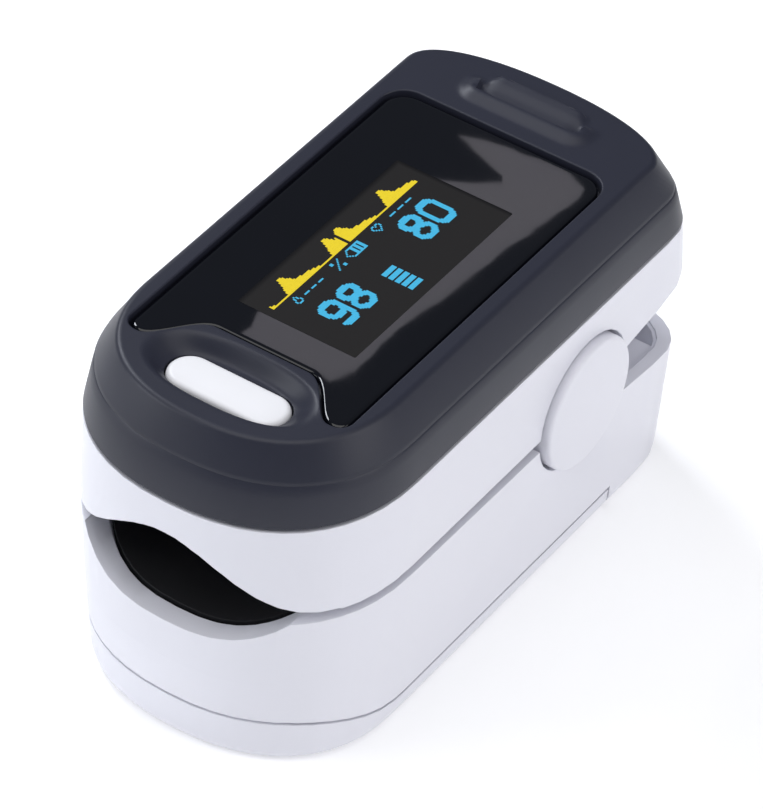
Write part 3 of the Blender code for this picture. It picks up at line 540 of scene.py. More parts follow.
def window_outline(window, grow=0.0):
    """The window: round corners at the back, and two lobes that reach past the button's hollow."""
    half = window.half_x + grow
    back = window.back_y + grow
    radius = window.corner + grow
    tip = 1.05 * MM + grow
    flat = 4.6 * MM
    points = arc((half - radius, back - radius), radius, 0, 90)
    points += arc((radius - half, back - radius), radius, 90, 180)
    lobe = window.lobe_y - grow
    points += arc((tip - half, lobe + tip), tip, 180, 262)
    inner = half - 1.2 * tip
    front = []
    steps = 24
    for step in range(steps + 1):
        x = flat + (inner - flat) * step / steps
        share = smooth(((x - flat) / (inner - flat)) ** 1.15)
        front.append((x, window.front_y - grow + (window.lobe_y - window.front_y) * share))
    points += [(-x, y) for x, y in reversed(front)] + front
    points += arc((half - tip, lobe + tip), tip, 278, 360)
    return points


def radial(outline):
    """The outline's points straight out from the cover's centre, at evenly spaced angles."""
    points = np.array(outline) - np.array(CENTRE)
    edges = np.roll(points, -1, axis=0) - points
    angles = np.linspace(0, 2 * math.pi, RING, endpoint=False)
    ways = np.stack([np.cos(angles), np.sin(angles)], axis=1)
    across = ways[:, None, 0] * edges[None, :, 1] - ways[:, None, 1] * edges[None, :, 0]
    across = np.where(np.abs(across) < 1e-12, 1e-12, across)
    reach = (points[:, 0] * edges[:, 1] - points[:, 1] * edges[:, 0])[None, :] / across
    share = (points[None, :, 0] * ways[:, None, 1] - points[None, :, 1] * ways[:, None, 0]) / across
    reach = np.where((share >= -1e-6) & (share <= 1 + 1e-6), reach, 0.0).max(axis=1)
    return ways * reach[:, None] + np.array(CENTRE)


def pill(half, radius, centre_y, count=RING // 8):
    """A pill outline along X, as an array of points."""
    points = []
    for end in (1, -1):
        for step in range(count):
            angle = math.pi * step / (count - 1) - math.pi / 2
            x = end * (half - radius + radius * math.cos(angle))
            points.append((x, centre_y + end * radius * math.sin(angle)))
    return np.array(points)


def level(outline, z):
    """A ring of an outline's points at one height."""
    return np.column_stack([outline, np.full(len(outline), z)])


def rounded(start, corner, end, radius, steps=5):
    """A profile's corner, from start to end, rounded by radius: points (inset, height)."""
    start, corner, end = Vector(start), Vector(corner), Vector(end)
    before = (start - corner).normalized()
    after = (end - corner).normalized()
    half_angle = before.angle(after) / 2
    back = radius / math.tan(half_angle)
    first, last = corner + before * back, corner + after * back
    points = []
    for step in range(steps + 1):
        t = step / steps
        points.append(first * (1 - t) ** 2 + corner * 2 * t * (1 - t) + last * t * t)
    return points


# ---------------------------------------------------------------- meshes

def ring_stack(rings, closed=False):
    """Extrude a circle of vertices through the rings; closed joins the last one to the first."""
    mesh = bmesh.new()
    loop = bmesh.ops.create_circle(mesh, segments=len(rings[0]), radius=1.0)["verts"]
    for vert, place in zip(loop, rings[0]):
        vert.co = place
    for ring in rings[1:] + ([rings[0]] if closed else []):
        members = set(loop)
        edges = [edge for vert in loop for edge in vert.link_edges if edge.other_vert(vert) in members]
        made = bmesh.ops.extrude_edge_only(mesh, edges=list(dict.fromkeys(edges)))
        fresh = {item for item in made["geom"] if isinstance(item, bmesh.types.BMVert)}
        follow = []
        for vert, place in zip(loop, ring):
            partner = next(e.other_vert(vert) for e in vert.link_edges if e.other_vert(vert) in fresh)
            partner.co = place
            follow.append(partner)
        loop = follow
    if closed:
        bmesh.ops.remove_doubles(mesh, verts=mesh.verts, dist=1e-7)
    else:
        bmesh.ops.holes_fill(mesh, edges=mesh.edges, sides=0)
    bmesh.ops.recalc_face_normals(mesh, faces=mesh.faces)
    return mesh


def new_object(name, mesh, *materials):
    """An object in the scene with a bmesh's shape; the bmesh is used up."""
    data = bpy.data.meshes.new(name)
    mesh.to_mesh(data)
    mesh.free()
    for material in materials:
        data.materials.append(material)
    made = bpy.data.objects.new(name, data)
    bpy.context.scene.collection.objects.link(made)
    return made


def place_piece(name, mesh, body, slot, *materials, flat=False):
    """Turn a bmesh into a piece that rides on a body."""
    piece = new_object(name, mesh, *materials)
    if not flat:
        piece.data.shade_smooth()
        piece.data.set_sharp_from_angle(angle=SHARP)
    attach(piece, body)
    return piece


def carve(piece, cutter):
    """Cut the cutter out of a piece for good, then remove it."""
    modifier = piece.modifiers.new("cut", "BOOLEAN")
    modifier.operation = "DIFFERENCE"
    modifier.solver = "EXACT"
    modifier.object = cutter
    depsgraph = bpy.context.evaluated_depsgraph_get()
    baked = bpy.data.meshes.new_from_object(piece.evaluated_get(depsgraph))
    piece.modifiers.clear()
    piece.data = baked
    bpy.data.objects.remove(cutter, do_unlink=True)
    piece.data.set_sharp_from_angle(angle=SHARP)


def turned(places, centre, axis, steps):
    """A closed shape made by turning a chain of places, whose ends lie on the axis, once round."""
    mesh = bmesh.new()
    verts = [mesh.verts.new(place) for place in places]
    edges = [mesh.edges.new(pair) for pair in zip(verts, verts[1:])]
    bmesh.ops.spin(mesh, geom=verts + edges, cent=centre, axis=axis, angle=2 * math.pi, steps=steps,
                   use_merge=True)
    bmesh.ops.remove_doubles(mesh, verts=mesh.verts, dist=1e-6)
    bmesh.ops.recalc_face_normals(mesh, faces=mesh.faces)
    return mesh


def refined(node, name, slot, material, edge, angle=30):
    """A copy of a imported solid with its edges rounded, standing for that solid."""
    source = frame["nodes"][node]
    mesh = bmesh.new()
    mesh.from_mesh(source.data)
    bmesh.ops.remove_doubles(mesh, verts=mesh.verts, dist=2e-6)
    bmesh.ops.dissolve_limit(mesh, angle_limit=math.radians(0.8), verts=mesh.verts, edges=mesh.edges)
    piece = place_piece(name, mesh, source["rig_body"], slot, material)
    bevel = piece.modifiers.new("round_edges", "BEVEL")
    bevel.width = edge
    bevel.segments = 3
    bevel.limit_method = "ANGLE"
    bevel.angle_limit = math.radians(angle)
    bevel.harden_normals = True
    bevel.use_clamp_overlap = True
    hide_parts(node)
    return piece


# ---------------------------------------------------------------- operators

class BuildCover(bpy.types.Operator):
    """Build the black top cover with its hollow, grip and window seat"""
    bl_idname = "oximeter.build_cover"
    bl_label = "Top cover"

    def execute(self, context):
        cover = context.scene.oximeter_cover
        window = context.scene.oximeter_window
        piece = place_piece("cover", ring_stack(self.rings(cover, window), closed=True), "upper_jaw",
                            "black_plastic", satin_cover())
        hole = pill(BUTTON_HALF + BUTTON_CLEARANCE, BUTTON_RADIUS + BUTTON_CLEARANCE, BUTTON_Y)
        tool = ring_stack([level(hole, COVER_LOW.z), level(hole, CROWN + 2 * MM)])
        carve(piece, new_object("button_hole", tool))
        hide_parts("top_cover")
        return {"FINISHED"}

    def rings(self, cover, window):
        """The cover's cross-section rings, from the window's ledge outwards and back underneath."""
        ledge = WINDOW_LOW.z - 0.15 * MM
        ledge_width = 2.4 * MM
        ceiling = CROWN - 2.6 * MM
        seat_round = 0.16 * MM
        seat = radial(window_outline(window, window.gap))
        opening = radial(window_outline(window, -ledge_width))
        rings = [level(opening, ceiling), level(opening, ledge), level(seat, ledge)]
        for inset, z in rounded((0, ledge), (0, CROWN), (1, CROWN), seat_round, 4):
            rings.append(level(radial(window_outline(window, window.gap + inset)), z))
        rings += self.crown_rings(rings[-1], cover)
        rings += self.side_rings(cover)
        for inset, z in ((0.0, COVER_LOW.z), (cover.crease_inset, cover.crease - 1 * MM),
                         (cover.ridge_inset, ceiling)):
            rings.append(level(self.side_outline(inset, cover, cover.wall), z))
        return rings

    def side_outline(self, inset, cover, wall=0.0):
        """The outline where the sides stand in by inset; the two ends lean in further, and rounder."""
        beyond = 1 * MM
        stops = (0.0, cover.crease_inset, cover.ridge_inset, cover.ridge_inset + beyond)
        fronts = (0.0, cover.crease_front, cover.ridge_front, cover.ridge_front + beyond)
        backs = (SEAM_LEAN, cover.crease_back, cover.ridge_back, cover.ridge_back + beyond)
        powers = (TAIL_POWER, CREASE_POWER, CROWN_POWER, CROWN_POWER)
        front = float(np.interp(inset, stops, fronts))
        back = float(np.interp(inset, stops, backs))
        power = float(np.interp(inset, stops, powers))
        return radial(shell_outline(inset + wall, front + wall, back + wall, power))

    def crown_rings(self, seat_edge, cover, count=50):
        """The crown's rings, raised and lowered by the hollow and the grip."""
        outer = self.side_outline(cover.ridge_inset + 0.45 * MM, cover)
        rings = []
        for step in range(1, count + 1):
            share = step / count
            plan = seat_edge[:, :2] * (1 - share) + outer * share
            ring = level(plan, CROWN)
            for point in ring:
                point[2] += relief(point[0], point[1], cover)
            rings.append(ring)
        return rings

    def side_rings(self, cover):
        """The rounded ridge, the sloping band, the crease and the side wall, as (inset, height)."""
        ridge = (cover.ridge_inset, CROWN)
        crease = (cover.crease_inset, cover.crease)
        foot = (0.0, COVER_LOW.z)
        foot_round = 0.12 * MM
        profile = rounded((ridge[0] + 1 * MM, CROWN), ridge, crease, cover.ridge_round, 6)
        for inset, rise in CREASE_GROOVE:
            profile.append(Vector((crease[0] + inset * MM, crease[1] + rise * MM)))
        profile.append(Vector((crease[0] * 0.75, crease[1] * 0.72 + foot[1] * 0.28)))
        profile += rounded(crease, foot, (1 * MM, foot[1]), foot_round, 3)
        return [level(self.side_outline(inset, cover), z) for inset, z in profile]


# Inset and height from the crease, in millimetres: the fine groove along it
CREASE_GROOVE = ((0.28, 0.42), (0.16, 0.14), (0.16, 0.02), (0.03, -0.12))

DISH_POWER = 2.5
DISH_SLOPE = 0.34
GRIP_START = 20 * MM


def relief(x, y, cover):
    """Height over the crown: below 0 in the hollow round the button, above 0 on the thumb grip."""
    if y < 0:
        across = abs(x) / cover.dish_half_x
        along = abs(y - BUTTON_Y - cover.dish_shift) / cover.dish_half_y
        away = (across ** DISH_POWER + along ** DISH_POWER) ** (1 / DISH_POWER)
        return -cover.dish_depth * smooth((1.0 - away) / DISH_SLOPE)
    if y < GRIP_START:
        return 0.0
    return grip_relief(abs(x), y, cover.grip_height)


def grip_relief(x, y, height):
    """Two low terraces: a wide one with upturned ends, and a bar behind it with slanted ends."""
    step_y = 20.5 * MM
    step_half = 4.9 * MM
    turn = 2.2 * MM
    if x < step_half:
        inward = y - step_y
    elif y > step_y + turn:
        inward = turn - (x - step_half)
    else:
        inward = turn - math.hypot(x - step_half, y - step_y - turn)
    rise = smooth(inward / (1.6 * MM))
    fall = smooth((inward - 1.7 * MM) / (0.3 * MM))
    fade = 1 - smooth((y - 23.3 * MM) / (1.1 * MM))
    terrace = rise * (1 - 1.25 * fall) * fade

    bar_half = 3.9 * MM
    bar_foot = 22.7 * MM + max(x - bar_half, 0.0) * 0.4
    slant = 0.55 * max(25.4 * MM - y, 0.0)
    bar_rise = min(max((y - bar_foot) / (2.3 * MM), 0.0), 1.0)
    bar_fall = smooth((y - 25.05 * MM) / (0.35 * MM))
    bar_ends = 1 - smooth((x - bar_half - slant) / (0.9 * MM))
    return height * (terrace + bar_rise * (1 - bar_fall) * bar_ends)


class BuildWindow(bpy.types.Operator):
    """Build the glossy window with its polished edge"""
    bl_idname = "oximeter.build_window"
    bl_label = "Window"

    def execute(self, context):
        window = context.scene.oximeter_window
        outline = radial(window_outline(window))
        rings = [level(outline, WINDOW_LOW.z)]
        shoulder = rounded((0, WINDOW_LOW.z), (0, WINDOW_HIGH.z), (1, WINDOW_HIGH.z), window.bevel, 6)
        for inset, z in shoulder:
            rings.append(level(radial(window_outline(window, -inset)), z))
        flat_start = 1.3 * window.bevel
        rings.append(level(radial(window_outline(window, -flat_start)), WINDOW_HIGH.z))
        piece = place_piece("window", ring_stack(rings), "upper_jaw", "window_acrylic", gloss_window())
        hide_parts("display_window")
        return {"FINISHED"}


class BuildScreen(bpy.types.Operator):
    """Build the screen's face and its lit dots"""
    bl_idname = "oximeter.build_screen"
    bl_label = "Screen"

    def execute(self, context):
        screen = context.scene.oximeter_screen
        face = WINDOW_HIGH.z + 0.02 * MM
        place_piece("screen_face", self.plate(screen, face), "upper_jaw", "display_glass", screen_grey())
        yellow = lit_dots("trace_dots", tuple(palette().trace))
        blue = lit_dots("figure_dots", tuple(palette().figures))
        place_piece("screen_dots", self.dots(screen, face), "upper_jaw", "display_glass", yellow, blue,
                    flat=True)
        return {"FINISHED"}

    def plate(self, screen, top):
        """A thin plate with slightly rounded corners."""
        low = Vector((screen.low_x, screen.low_y, top - 0.06 * MM))
        high = Vector((screen.high_x, screen.high_y, top))
        size = high - low
        middle = (low + high) / 2
        corner = 0.12 * MM
        mesh = bmesh.new()
        bmesh.ops.create_cube(mesh, size=1.0, matrix=Matrix.LocRotScale(middle, None, size))
        upright = [e for e in mesh.edges if abs(e.verts[0].co.z - e.verts[1].co.z) > size.z / 2]
        bmesh.ops.bevel(mesh, geom=upright, offset=corner, segments=3, profile=0.5, affect="EDGES",
                        material=-1)
        return mesh

    def dots(self, screen, face):
        """One square for each lit dot, with a little thickness; its material is its colour."""
        lit = trace_dots()
        lit.update(figure_dots(screen.left_figure, *LEFT_FIGURE_PLACE))
        lit.update(figure_dots(screen.right_figure, *RIGHT_FIGURE_PLACE))
        lit.update(icon_dots())
        half = Vector((ROWS / 2 * screen.dot, COLUMNS / 2 * screen.dot, 1.0))
        centre = Vector((screen.first_x + half.x, screen.first_y + half.y, face + 0.01 * MM))
        mesh = bmesh.new()
        bmesh.ops.create_grid(mesh, x_segments=ROWS, y_segments=COLUMNS, size=1.0,
                              matrix=Matrix.LocRotScale(centre, None, half))
        dark = []
        for square in mesh.faces:
            place = square.calc_center_median()
            row = int((place.x - screen.first_x) / screen.dot)
            column = int((place.y - screen.first_y) / screen.dot)
            tint = lit.get((column, row))
            if tint is None:
                dark.append(square)
            else:
                square.material_index = tint
        bmesh.ops.delete(mesh, geom=dark, context="FACES")
        bmesh.ops.split_edges(mesh, edges=mesh.edges)
        for square in mesh.faces:
            bmesh.ops.scale(mesh, vec=(DOT_FILL, DOT_FILL, 1.0), verts=square.verts,
                            space=Matrix.Translation(-square.calc_center_median()))
        tops = mesh.faces[:]
        bmesh.ops.recalc_face_normals(mesh, faces=tops)
        made = bmesh.ops.extrude_face_region(mesh, geom=tops, use_keep_orig=True)
        moved = [item for item in made["geom"] if isinstance(item, bmesh.types.BMVert)]
        bmesh.ops.translate(mesh, vec=(0, 0, DOT_HEIGHT), verts=moved)
        bmesh.ops.recalc_face_normals(mesh, faces=mesh.faces)
        return mesh


ROWS = 64
COLUMNS = 128
DOT_FILL = 0.94
DOT_HEIGHT = 0.012 * MM

# The materials of the lit dots
TRACE = 0
FIGURE = 1

# One beat's outline as (column, height); the beat that the sweep's gap cuts starts part of the way up
BEAT = ((0, 1), (6, 12), (8, 12), (13, 5), (21, 4), (30, 1))
CUT_BEAT = ((0, 7), *BEAT[1:])
BEAT_STARTS = (13, 52, 101)
CUT_BEAT_START = 63
SWEEP_GAP = (65, 66)
BASE_ROW = 14

# Column and row of each figure's first dot
LEFT_FIGURE_PLACE = (10, 30)
RIGHT_FIGURE_PLACE = (90, 24)


def trace_dots():
    """A pulse trace: four beats over a base line, with the gap where the sweep is."""
    heights = [1.0] * COLUMNS
    heights[:3] = [3.0, 2.0, 2.0]
    for start in BEAT_STARTS:
        add_beat(heights, start, BEAT)
    add_beat(heights, CUT_BEAT_START, CUT_BEAT)
    for column in SWEEP_GAP:
        heights[column] = 0.0
    lit = {}
    for column, height in enumerate(heights):
        for row in range(int(round(height))):
            lit[(column, BASE_ROW - row)] = TRACE
    return lit


def add_beat(heights, start, shape):
    """Draw a beat's outline, (column, height) corners, into the column heights."""
    for (left, low), (right, high) in zip(shape, shape[1:]):
        for column in range(left, right + 1):
            spot = start + column
            if spot < len(heights):
                heights[spot] = low + (high - low) * (column - left) / (right - left)


def figure_dots(number, column, row):
    """The dots of a two-digit number whose top left dot is at column and row."""
    wide = 16
    high = 23
    lit = {}
    for place, digit in enumerate("%02d" % number):
        left = column + wide * place
        for across in range(wide):
            for down in range(high):
                if in_digit(digit, across - (wide - 1) / 2, (high - 1) / 2 - down):
                    lit[(left + across, row + down)] = FIGURE
    return lit


def in_digit(digit, x, y, pen=1.85):
    """Whether a dot lies within a digit's stroke; x and y are in dots from its middle."""
    if digit == "0":
        lines = [oval_distance(x, y, 0.0, 5.6, 8.8, 3.4)]
    elif digit == "8":
        lines = [oval_distance(x, y, 4.7, 5.1, 4.1, 2.2), oval_distance(x, y, -4.5, 5.6, 4.4, 2.2)]
    elif digit == "9":
        tail = oval_distance(x, y, 0.0, 5.6, 8.8, 3.0)
        if (x < 0 and y > -6.2) or y > 4:
            tail = math.inf
        lines = [oval_distance(x, y, 3.6, 5.5, 5.2, 2.2), tail]
    else:
        lines = [segment_distance(x, y, bar) for bar in SEGMENTS[digit]]
    return min(lines) < pen


def oval_distance(x, y, centre, half_x, half_y, power):
    """Rough distance from a point to a rounded oval about (0, centre)."""
    reach = (abs(x / half_x) ** power + abs((y - centre) / half_y) ** power) ** (1 / power)
    away = math.hypot(x, y - centre)
    return away * abs(1 - 1 / reach) if reach > 1e-6 else min(half_x, half_y)


# Seven bars: top, middle, bottom, then upper left, upper right, lower left and lower right
BARS = {
    "t": (-5, 9, 5, 9), "m": (-5, 0, 5, 0), "b": (-5, -9, 5, -9), "ul": (-5.5, 0, -5.5, 9),
    "ur": (5.5, 0, 5.5, 9), "ll": (-5.5, -9, -5.5, 0), "lr": (5.5, -9, 5.5, 0),
}
SEGMENTS = {
    "1": [BARS["ur"], BARS["lr"]],
    "2": [BARS["t"], BARS["ur"], BARS["m"], BARS["ll"], BARS["b"]],
    "3": [BARS["t"], BARS["ur"], BARS["m"], BARS["lr"], BARS["b"]],
    "4": [BARS["ul"], BARS["ur"], BARS["m"], BARS["lr"]],
    "5": [BARS["t"], BARS["ul"], BARS["m"], BARS["lr"], BARS["b"]],
    "6": [BARS["t"], BARS["ul"], BARS["m"], BARS["ll"], BARS["lr"], BARS["b"]],
    "7": [BARS["t"], BARS["ur"], BARS["lr"]],
}


def segment_distance(x, y, bar):
    start, end, point = Vector(bar[:2]), Vector(bar[2:]), Vector((x, y))
    run = end - start
    share = min(max((point - start).dot(run) / run.length_squared, 0.0), 1.0)
    return (point - start - run * share).length


def icon_dots():
    """Level bars, a battery, a heart, a drop, a per cent sign and plain dashes."""
    lit = {}
    for bar in range(5):
        fill(lit, 55, 42 + 4 * bar, 10, 3)
    for row in (17, 23):
        fill(lit, 59, row, 11, 1)
    for column in (62, 65, 68):
        fill(lit, column, 18, 2, 5)
    for step in range(4):
        fill(lit, 56 + step, 20 - step)
        fill(lit, 56 + step, 20 + step)
    for x, y in HEART_HALF:
        fill(lit, 84 + x, 19 - y)
        fill(lit, 84 - x, 19 - y)
    for x, y in DROP_HALF:
        fill(lit, 13 + x, 20 - y)
        fill(lit, 13 - x, 20 - y)
    for step in range(7):
        fill(lit, 45 + step, 23 - step)
    fill(lit, 45, 17, 2, 2)
    fill(lit, 50, 22, 2, 2)
    for column in (19, 25, 31):
        fill(lit, column, 20, 4, 1)
    for column in (96, 103, 110):
        fill(lit, column, 19, 5, 1)
    return lit


# The dots of each icon's right half, from its middle
HEART_HALF = ((0, 1), (1, 2), (2, 2), (3, 1), (3, 0), (2, -1), (1, -2), (0, -3))
DROP_HALF = ((0, 3), (1, 2), (1, 1), (2, 0), (2, -1), (1, -2), (0, -2))


def fill(lit, column, row, wide=1, high=1):
    """Light a block of dots whose first is at column and row."""
    for across in range(wide):
        for down in range(high):
            lit[(column + across, row + down)] = FIGURE


class BuildButton(bpy.types.Operator):
    """Build the white push button"""
    bl_idname = "oximeter.build_button"
    bl_label = "Button"

    def execute(self, context):
        step = BUTTON_LOW.z + 0.6 * MM
        dome = 0.08 * MM
        edge_round = 0.7 * MM
        profile = [(-BUTTON_FLANGE, BUTTON_LOW.z), (-BUTTON_FLANGE, step), (0.0, step)]
        profile += rounded((0, BUTTON_LOW.z), (0, BUTTON_HIGH.z - dome), (1, BUTTON_HIGH.z), edge_round, 8)
        rim = profile[-1][0]
        for share in (0.35, 0.7, 0.92):
            profile.append((rim + (BUTTON_RADIUS - rim) * share, BUTTON_HIGH.z - dome * (1 - share) ** 2))
        rings = []
        for inset, z in profile:
            rings.append(level(pill(BUTTON_HALF - inset, BUTTON_RADIUS - inset, BUTTON_Y), z))
        piece = place_piece("button", ring_stack(rings), "power_button", "button_plastic", button_white())
        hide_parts("power_button")
        return {"FINISHED"}


class BuildShells(bpy.types.Operator):
    """Build the two white shells and the battery door with rounded edges"""
    bl_idname = "oximeter.build_shells"
    bl_label = "Shells and door"

    def execute(self, context):
        edge = context.scene.oximeter_shell.edge
        door_edge = edge * 0.6
        white = white_shell()
        refined("upper_housing", "upper_shell", "white_plastic", white, edge)
        refined("lower_housing", "lower_shell", "white_plastic", white, edge)
        ribbed = white_shell("white_abs_door", ribs=True)
        refined("battery_door", "door", "white_plastic", ribbed, door_edge)
        return {"FINISHED"}


class BuildCaps(bpy.types.Operator):
    """Build the round hinge caps by turning their profile"""
    bl_idname = "oximeter.build_caps"
    bl_label = "Hinge caps"

    def execute(self, context):
        sizes = context.scene.oximeter_shell
        radius = (CAP_HIGH.y - CAP_LOW.y) / 2
        axis_y = (CAP_HIGH.y + CAP_LOW.y) / 2
        axis_z = (CAP_HIGH.z + CAP_LOW.z) / 2
        face = CAP_HIGH.x - sizes.cap_dome
        profile = [Vector((0.0, CAP_LOW.x)), Vector((radius, CAP_LOW.x))]
        profile += rounded((radius, CAP_LOW.x), (radius, face), (0, face), sizes.cap_edge, 6)
        for share in (0.7, 0.45, 0.2, 0.0):
            profile.append(Vector((radius * share, face + sizes.cap_dome * (1 - share ** 2))))
        white = white_shell("white_abs_caps")
        for side, tag in ((-1, "left"), (1, "right")):
            places = [(side * x, axis_y + r, axis_z) for r, x in profile]
            mesh = turned(places, (0, axis_y, axis_z), (1, 0, 0), 96)
            piece = place_piece("cap_" + tag, mesh, "lower_jaw", "white_plastic", white)
            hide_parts("hinge_cap_" + tag)
        return {"FINISHED"}


class BuildPads(bpy.types.Operator):
    """Build the soft finger pads"""
    bl_idname = "oximeter.build_pads"
    bl_label = "Finger pads"

    def execute(self, context):
        edge = context.scene.oximeter_shell.pad_edge
        rubber = soft_silicone()
        for node, name in (("lower_finger_pad", "lower_pad"), ("upper_finger_pad", "upper_pad")):
            refined(node, name, "silicone", rubber, edge)
        return {"FINISHED"}


# Faces of a cell whose middle lies nearer its axis than this are bare metal
CAN_REACH = 4.25 * MM


class BuildCells(bpy.types.Operator):
    """Build the two battery cells with their sleeves and contact nubs"""
    bl_idname = "oximeter.build_cells"
    bl_label = "Battery cells"

    def execute(self, context):
        sleeve = sleeve_print()
        metal = nickel("cell_can", 0.22)
        for tag, way in (("left", 1), ("right", -1)):
            node = "battery_cell_" + tag
            low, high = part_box(node)
            middle = (low + high) / 2
            tip = low.y if way > 0 else high.y
            profile = self.profile((high.x - low.x) / 2, high.y - low.y)
            places = [(middle.x + r, tip + way * along, middle.z) for r, along in profile]
            mesh = turned(places, (middle.x, 0, middle.z), (0, 1, 0), 64)
            for face in mesh.faces:
                centre = face.calc_center_median()
                out = math.hypot(centre.x - middle.x, centre.z - middle.z)
                face.material_index = 1 if out < CAN_REACH else 0
            piece = place_piece("cell_" + tag, mesh, "lower_jaw", "cell_sleeve", sleeve, metal)
            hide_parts(node)
        return {"FINISHED"}

    def profile(self, radius, length_y):
        """The cell's outline from the middle of its nub to the middle of its base: (radius, along)."""
        crimp = radius - 0.175 * MM
        nub = [(0.0, 0.0), (1.6 * MM, 0.0), (1.9 * MM, 0.25 * MM), (1.9 * MM, 0.95 * MM),
               (2.4 * MM, 1.05 * MM), (4.3 * MM, 1.05 * MM)]
        wrap = [(4.3 * MM, 1.0 * MM), (crimp, 1.0 * MM), (radius, 1.35 * MM),
                (radius, length_y - 0.5 * MM), (crimp, length_y - 0.1 * MM),
                (4.4 * MM, length_y - 0.1 * MM)]
        base = [(4.4 * MM, length_y - 0.02 * MM), (3.9 * MM, length_y), (0.0, length_y)]
        return nub + wrap + base


class FinishInside(bpy.types.Operator):
    """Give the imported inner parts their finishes"""
    bl_idname = "oximeter.finish_inside"
    bl_label = "Inner parts"

    def execute(self, context):
        steel = nickel()
        board = solder_mask()
        black = moulded("moulded_black", (0.018, 0.018, 0.019))
        film = amber_flex()
        looks = {
            steel: ("hinge_pin", "torsion_spring", "battery_coil", "battery_contact", "battery_bridge",
                    "board_screw", "clock_crystal"),
            board: ("main_board", "emitter_board"),
            black: ("controller_chip", "amplifier_chip", "charge_inductor", "buzzer", "switch_body"),
            film: ("oled_flex", "sensor_ribbon"),
            moulded("plunger_nylon", (0.62, 0.61, 0.55), 0.35, 0.5): ("switch_plunger",),
            clear_epoxy("panel_glass", (0.012, 0.012, 0.016), 0.06): ("oled_panel",),
            clear_epoxy("lens_epoxy", (0.55, 0.58, 0.62)): ("detector_lens",),
            clear_epoxy("detector_epoxy", (0.07, 0.03, 0.02), 0.15): ("photo_detector",),
            moulded("emitter_epoxy", (0.80, 0.79, 0.72), 0.2, 0.35): ("emitter_led",),
        }
        for material, starts in looks.items():
            for name, node in frame["nodes"].items():
                if name.startswith(starts):
                    for slot in node.material_slots:
                        slot.material = material
        return {"FINISHED"}


class BuildStage(bpy.types.Operator):
    """Set the floor, the soft lights and the camera"""
    bl_idname = "oximeter.build_stage"
    bl_label = "Stage"

    def execute(self, context):
        scene = context.scene
        stage = scene.oximeter_stage
        self.add_floor(stage)
        self.add_softbox(stage)
        self.add_world(scene)
        for spot in LIGHTS:
            self.add_light(scene, *spot)
        self.add_camera(scene, stage)
        scene.view_settings.view_transform = "Standard"
        return {"FINISHED"}

    def add_floor(self, stage):
        look = Recipe("floor_paper", tuple(stage.floor), 0.9, specular_ior_level=0.1,
                      emission_strength=0.22, emission_color=(1.0, 1.0, 1.0, 1.0))
        look.shade(look.noise(90 * MM, 1.0), 0.01)
        mesh = bmesh.new()
        bmesh.ops.create_grid(mesh, x_segments=2, y_segments=2, size=FLOOR_HALF,
                              matrix=Matrix.Translation((0, 0, -FLOOR_DROP)))
        new_object("floor", mesh, look.material)

    def add_softbox(self, stage):
        """A softly glowing panel, hung where the camera sees it mirrored in the window."""
        mirrored = Vector(stage.camera_place)
        mirrored.z = 2 * WINDOW_HIGH.z - mirrored.z
        reach = (stage.softbox_height - mirrored.z) / (WINDOW_HIGH.z - mirrored.z)
        look = Recipe("softbox_cloth", (0.8, 0.78, 0.85), 0.9, emission_strength=stage.softbox_glow)
        weave = look.noise(30 * MM, 2.0)
        look.set("Emission Color", look.blend(weave, (0.92, 0.87, 1.0, 1.0), (1.0, 0.95, 1.0, 1.0)))
        mesh = bmesh.new()
        corners = []
        for x, y in SOFTBOX_IMAGE:
            spot = Vector((x * MM, y * MM, WINDOW_HIGH.z))
            corners.append(mesh.verts.new(mirrored + (spot - mirrored) * reach))
        mesh.faces.new(corners)
        panel = new_object("softbox", mesh, look.material)
        panel.visible_camera = False

    def add_world(self, scene):
        world = bpy.data.worlds.new("studio")
        world.use_nodes = True
        sky = world.node_tree.nodes["Background"]
        sky.inputs["Color"].default_value = (0.80, 0.86, 1.0, 1.0)
        sky.inputs["Strength"].default_value = 0.18
        scene.world = world

    def add_light(self, scene, name, place, aim, size, power, tint):
        data = bpy.data.lights.new(name, "AREA")
        data.shape = "RECTANGLE"
        data.size, data.size_y = size
        data.energy = power
        data.color = tint
        light = bpy.data.objects.new(name, data)
        scene.collection.objects.link(light)
        light.location = place
        light.visible_camera = False
        light.rotation_euler = (Vector(aim) - Vector(place)).to_track_quat("-Z", "Y").to_euler()

    def add_camera(self, scene, stage):
        data = bpy.data.cameras.new("camera")
        data.lens = stage.focal
        data.clip_start, data.clip_end = 0.02, 20.0
        camera = bpy.data.objects.new("camera", data)
        scene.collection.objects.link(camera)
        turn = Matrix(CAMERA_AXES).transposed()
        camera.matrix_world = Matrix.Translation(stage.camera_place) @ turn.to_4x4()
        scene.camera = camera


FLOOR_HALF = 6.0
FLOOR_DROP = 0.05 * MM

# The camera's right, up and backward directions
CAMERA_AXES = (
    (0.82517, 0.56245, 0.05238),
    (-0.40382, 0.52252, 0.75094),
    (0.39500, -0.64080, 0.65830),
)

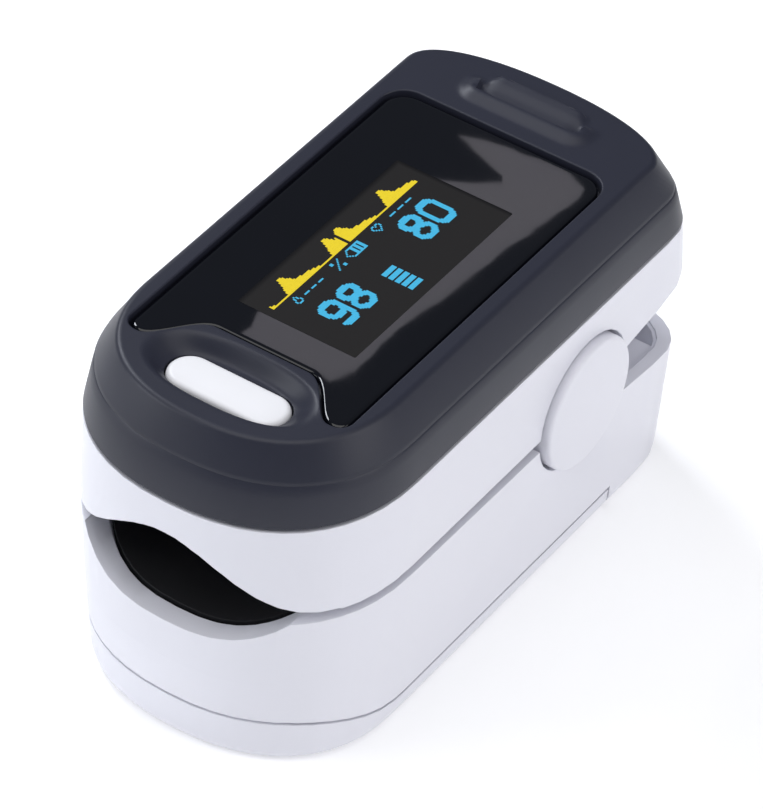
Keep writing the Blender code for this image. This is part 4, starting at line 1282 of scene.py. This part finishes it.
# Outline of the softbox's mirror image in the window, in millimetres
SOFTBOX_IMAGE = ((-3.2, 16.4), (-0.8, 17.3), (1.8, 17.9), (7.2, 17.9), (9.6, 17.2), (10.0, 15.8), (8.5, 1.0),
                 (7.3, -11.0), (7.7, -15.5), (6.6, -17.4), (-2.7, -17.4), (-2.5, -15.8), (-3.3, -14.0),
                 (-1.5, 9.8), (1.6, 11.8), (3.6, 13.2), (3.2, 13.9))

# Name, place, aim, size, power and tint of each soft light
LIGHTS = (
    ("overhead", (0.05, -0.25, 1.10), (0, 0, 0.02), (1.3, 1.1), 8.0, (1.0, 0.99, 0.98)),
    ("front_left", (-0.90, -0.75, 0.45), (0, 0, 0.02), (0.7, 0.6), 5.5, (0.93, 0.96, 1.0)),
    ("right_side", (1.05, 0.15, 0.50), (0, 0, 0.02), (0.7, 0.8), 4.5, (1.0, 0.99, 1.0)),
    ("left_panel", (-0.37, 0.14, 0.36), (0, -0.01, 0.035), (0.16, 0.16), 1.1, (0.90, 0.93, 1.0)),
)


class OximeterPanel(bpy.types.Panel):
    """The pieces' sizes and the buttons that build them"""
    bl_idname = "OXIMETER_PT_build"
    bl_label = "Pulse oximeter"
    bl_space_type = "VIEW_3D"
    bl_region_type = "UI"
    bl_category = "Oximeter"

    def draw(self, context):
        for operator in OPERATORS:
            self.layout.operator(operator.bl_idname)
        for name, group in SETTINGS.items():
            column = self.layout.column(align=True)
            column.label(text=name.replace("oximeter_", "").title())
            for field in group.__annotations__:
                column.prop(getattr(context.scene, name), field)


OPERATORS = (BuildCover, BuildWindow, BuildScreen, BuildButton, BuildShells, BuildCaps, BuildPads,
             BuildCells, FinishInside, BuildStage)


def register():
    for group in SETTINGS.values():
        bpy.utils.register_class(group)
    for name, group in SETTINGS.items():
        setattr(bpy.types.Scene, name, PointerProperty(type=group))
    for operator in OPERATORS:
        bpy.utils.register_class(operator)
    bpy.utils.register_class(OximeterPanel)


def unregister():
    bpy.utils.unregister_class(OximeterPanel)
    for operator in reversed(OPERATORS):
        bpy.utils.unregister_class(operator)
    for name in SETTINGS:
        delattr(bpy.types.Scene, name)
    for group in reversed(list(SETTINGS.values())):
        bpy.utils.unregister_class(group)


def main():
    register()
    for operator in OPERATORS:
        module, name = operator.bl_idname.split(".")
        getattr(getattr(bpy.ops, module), name)()


if __name__ == "__main__":
    main()
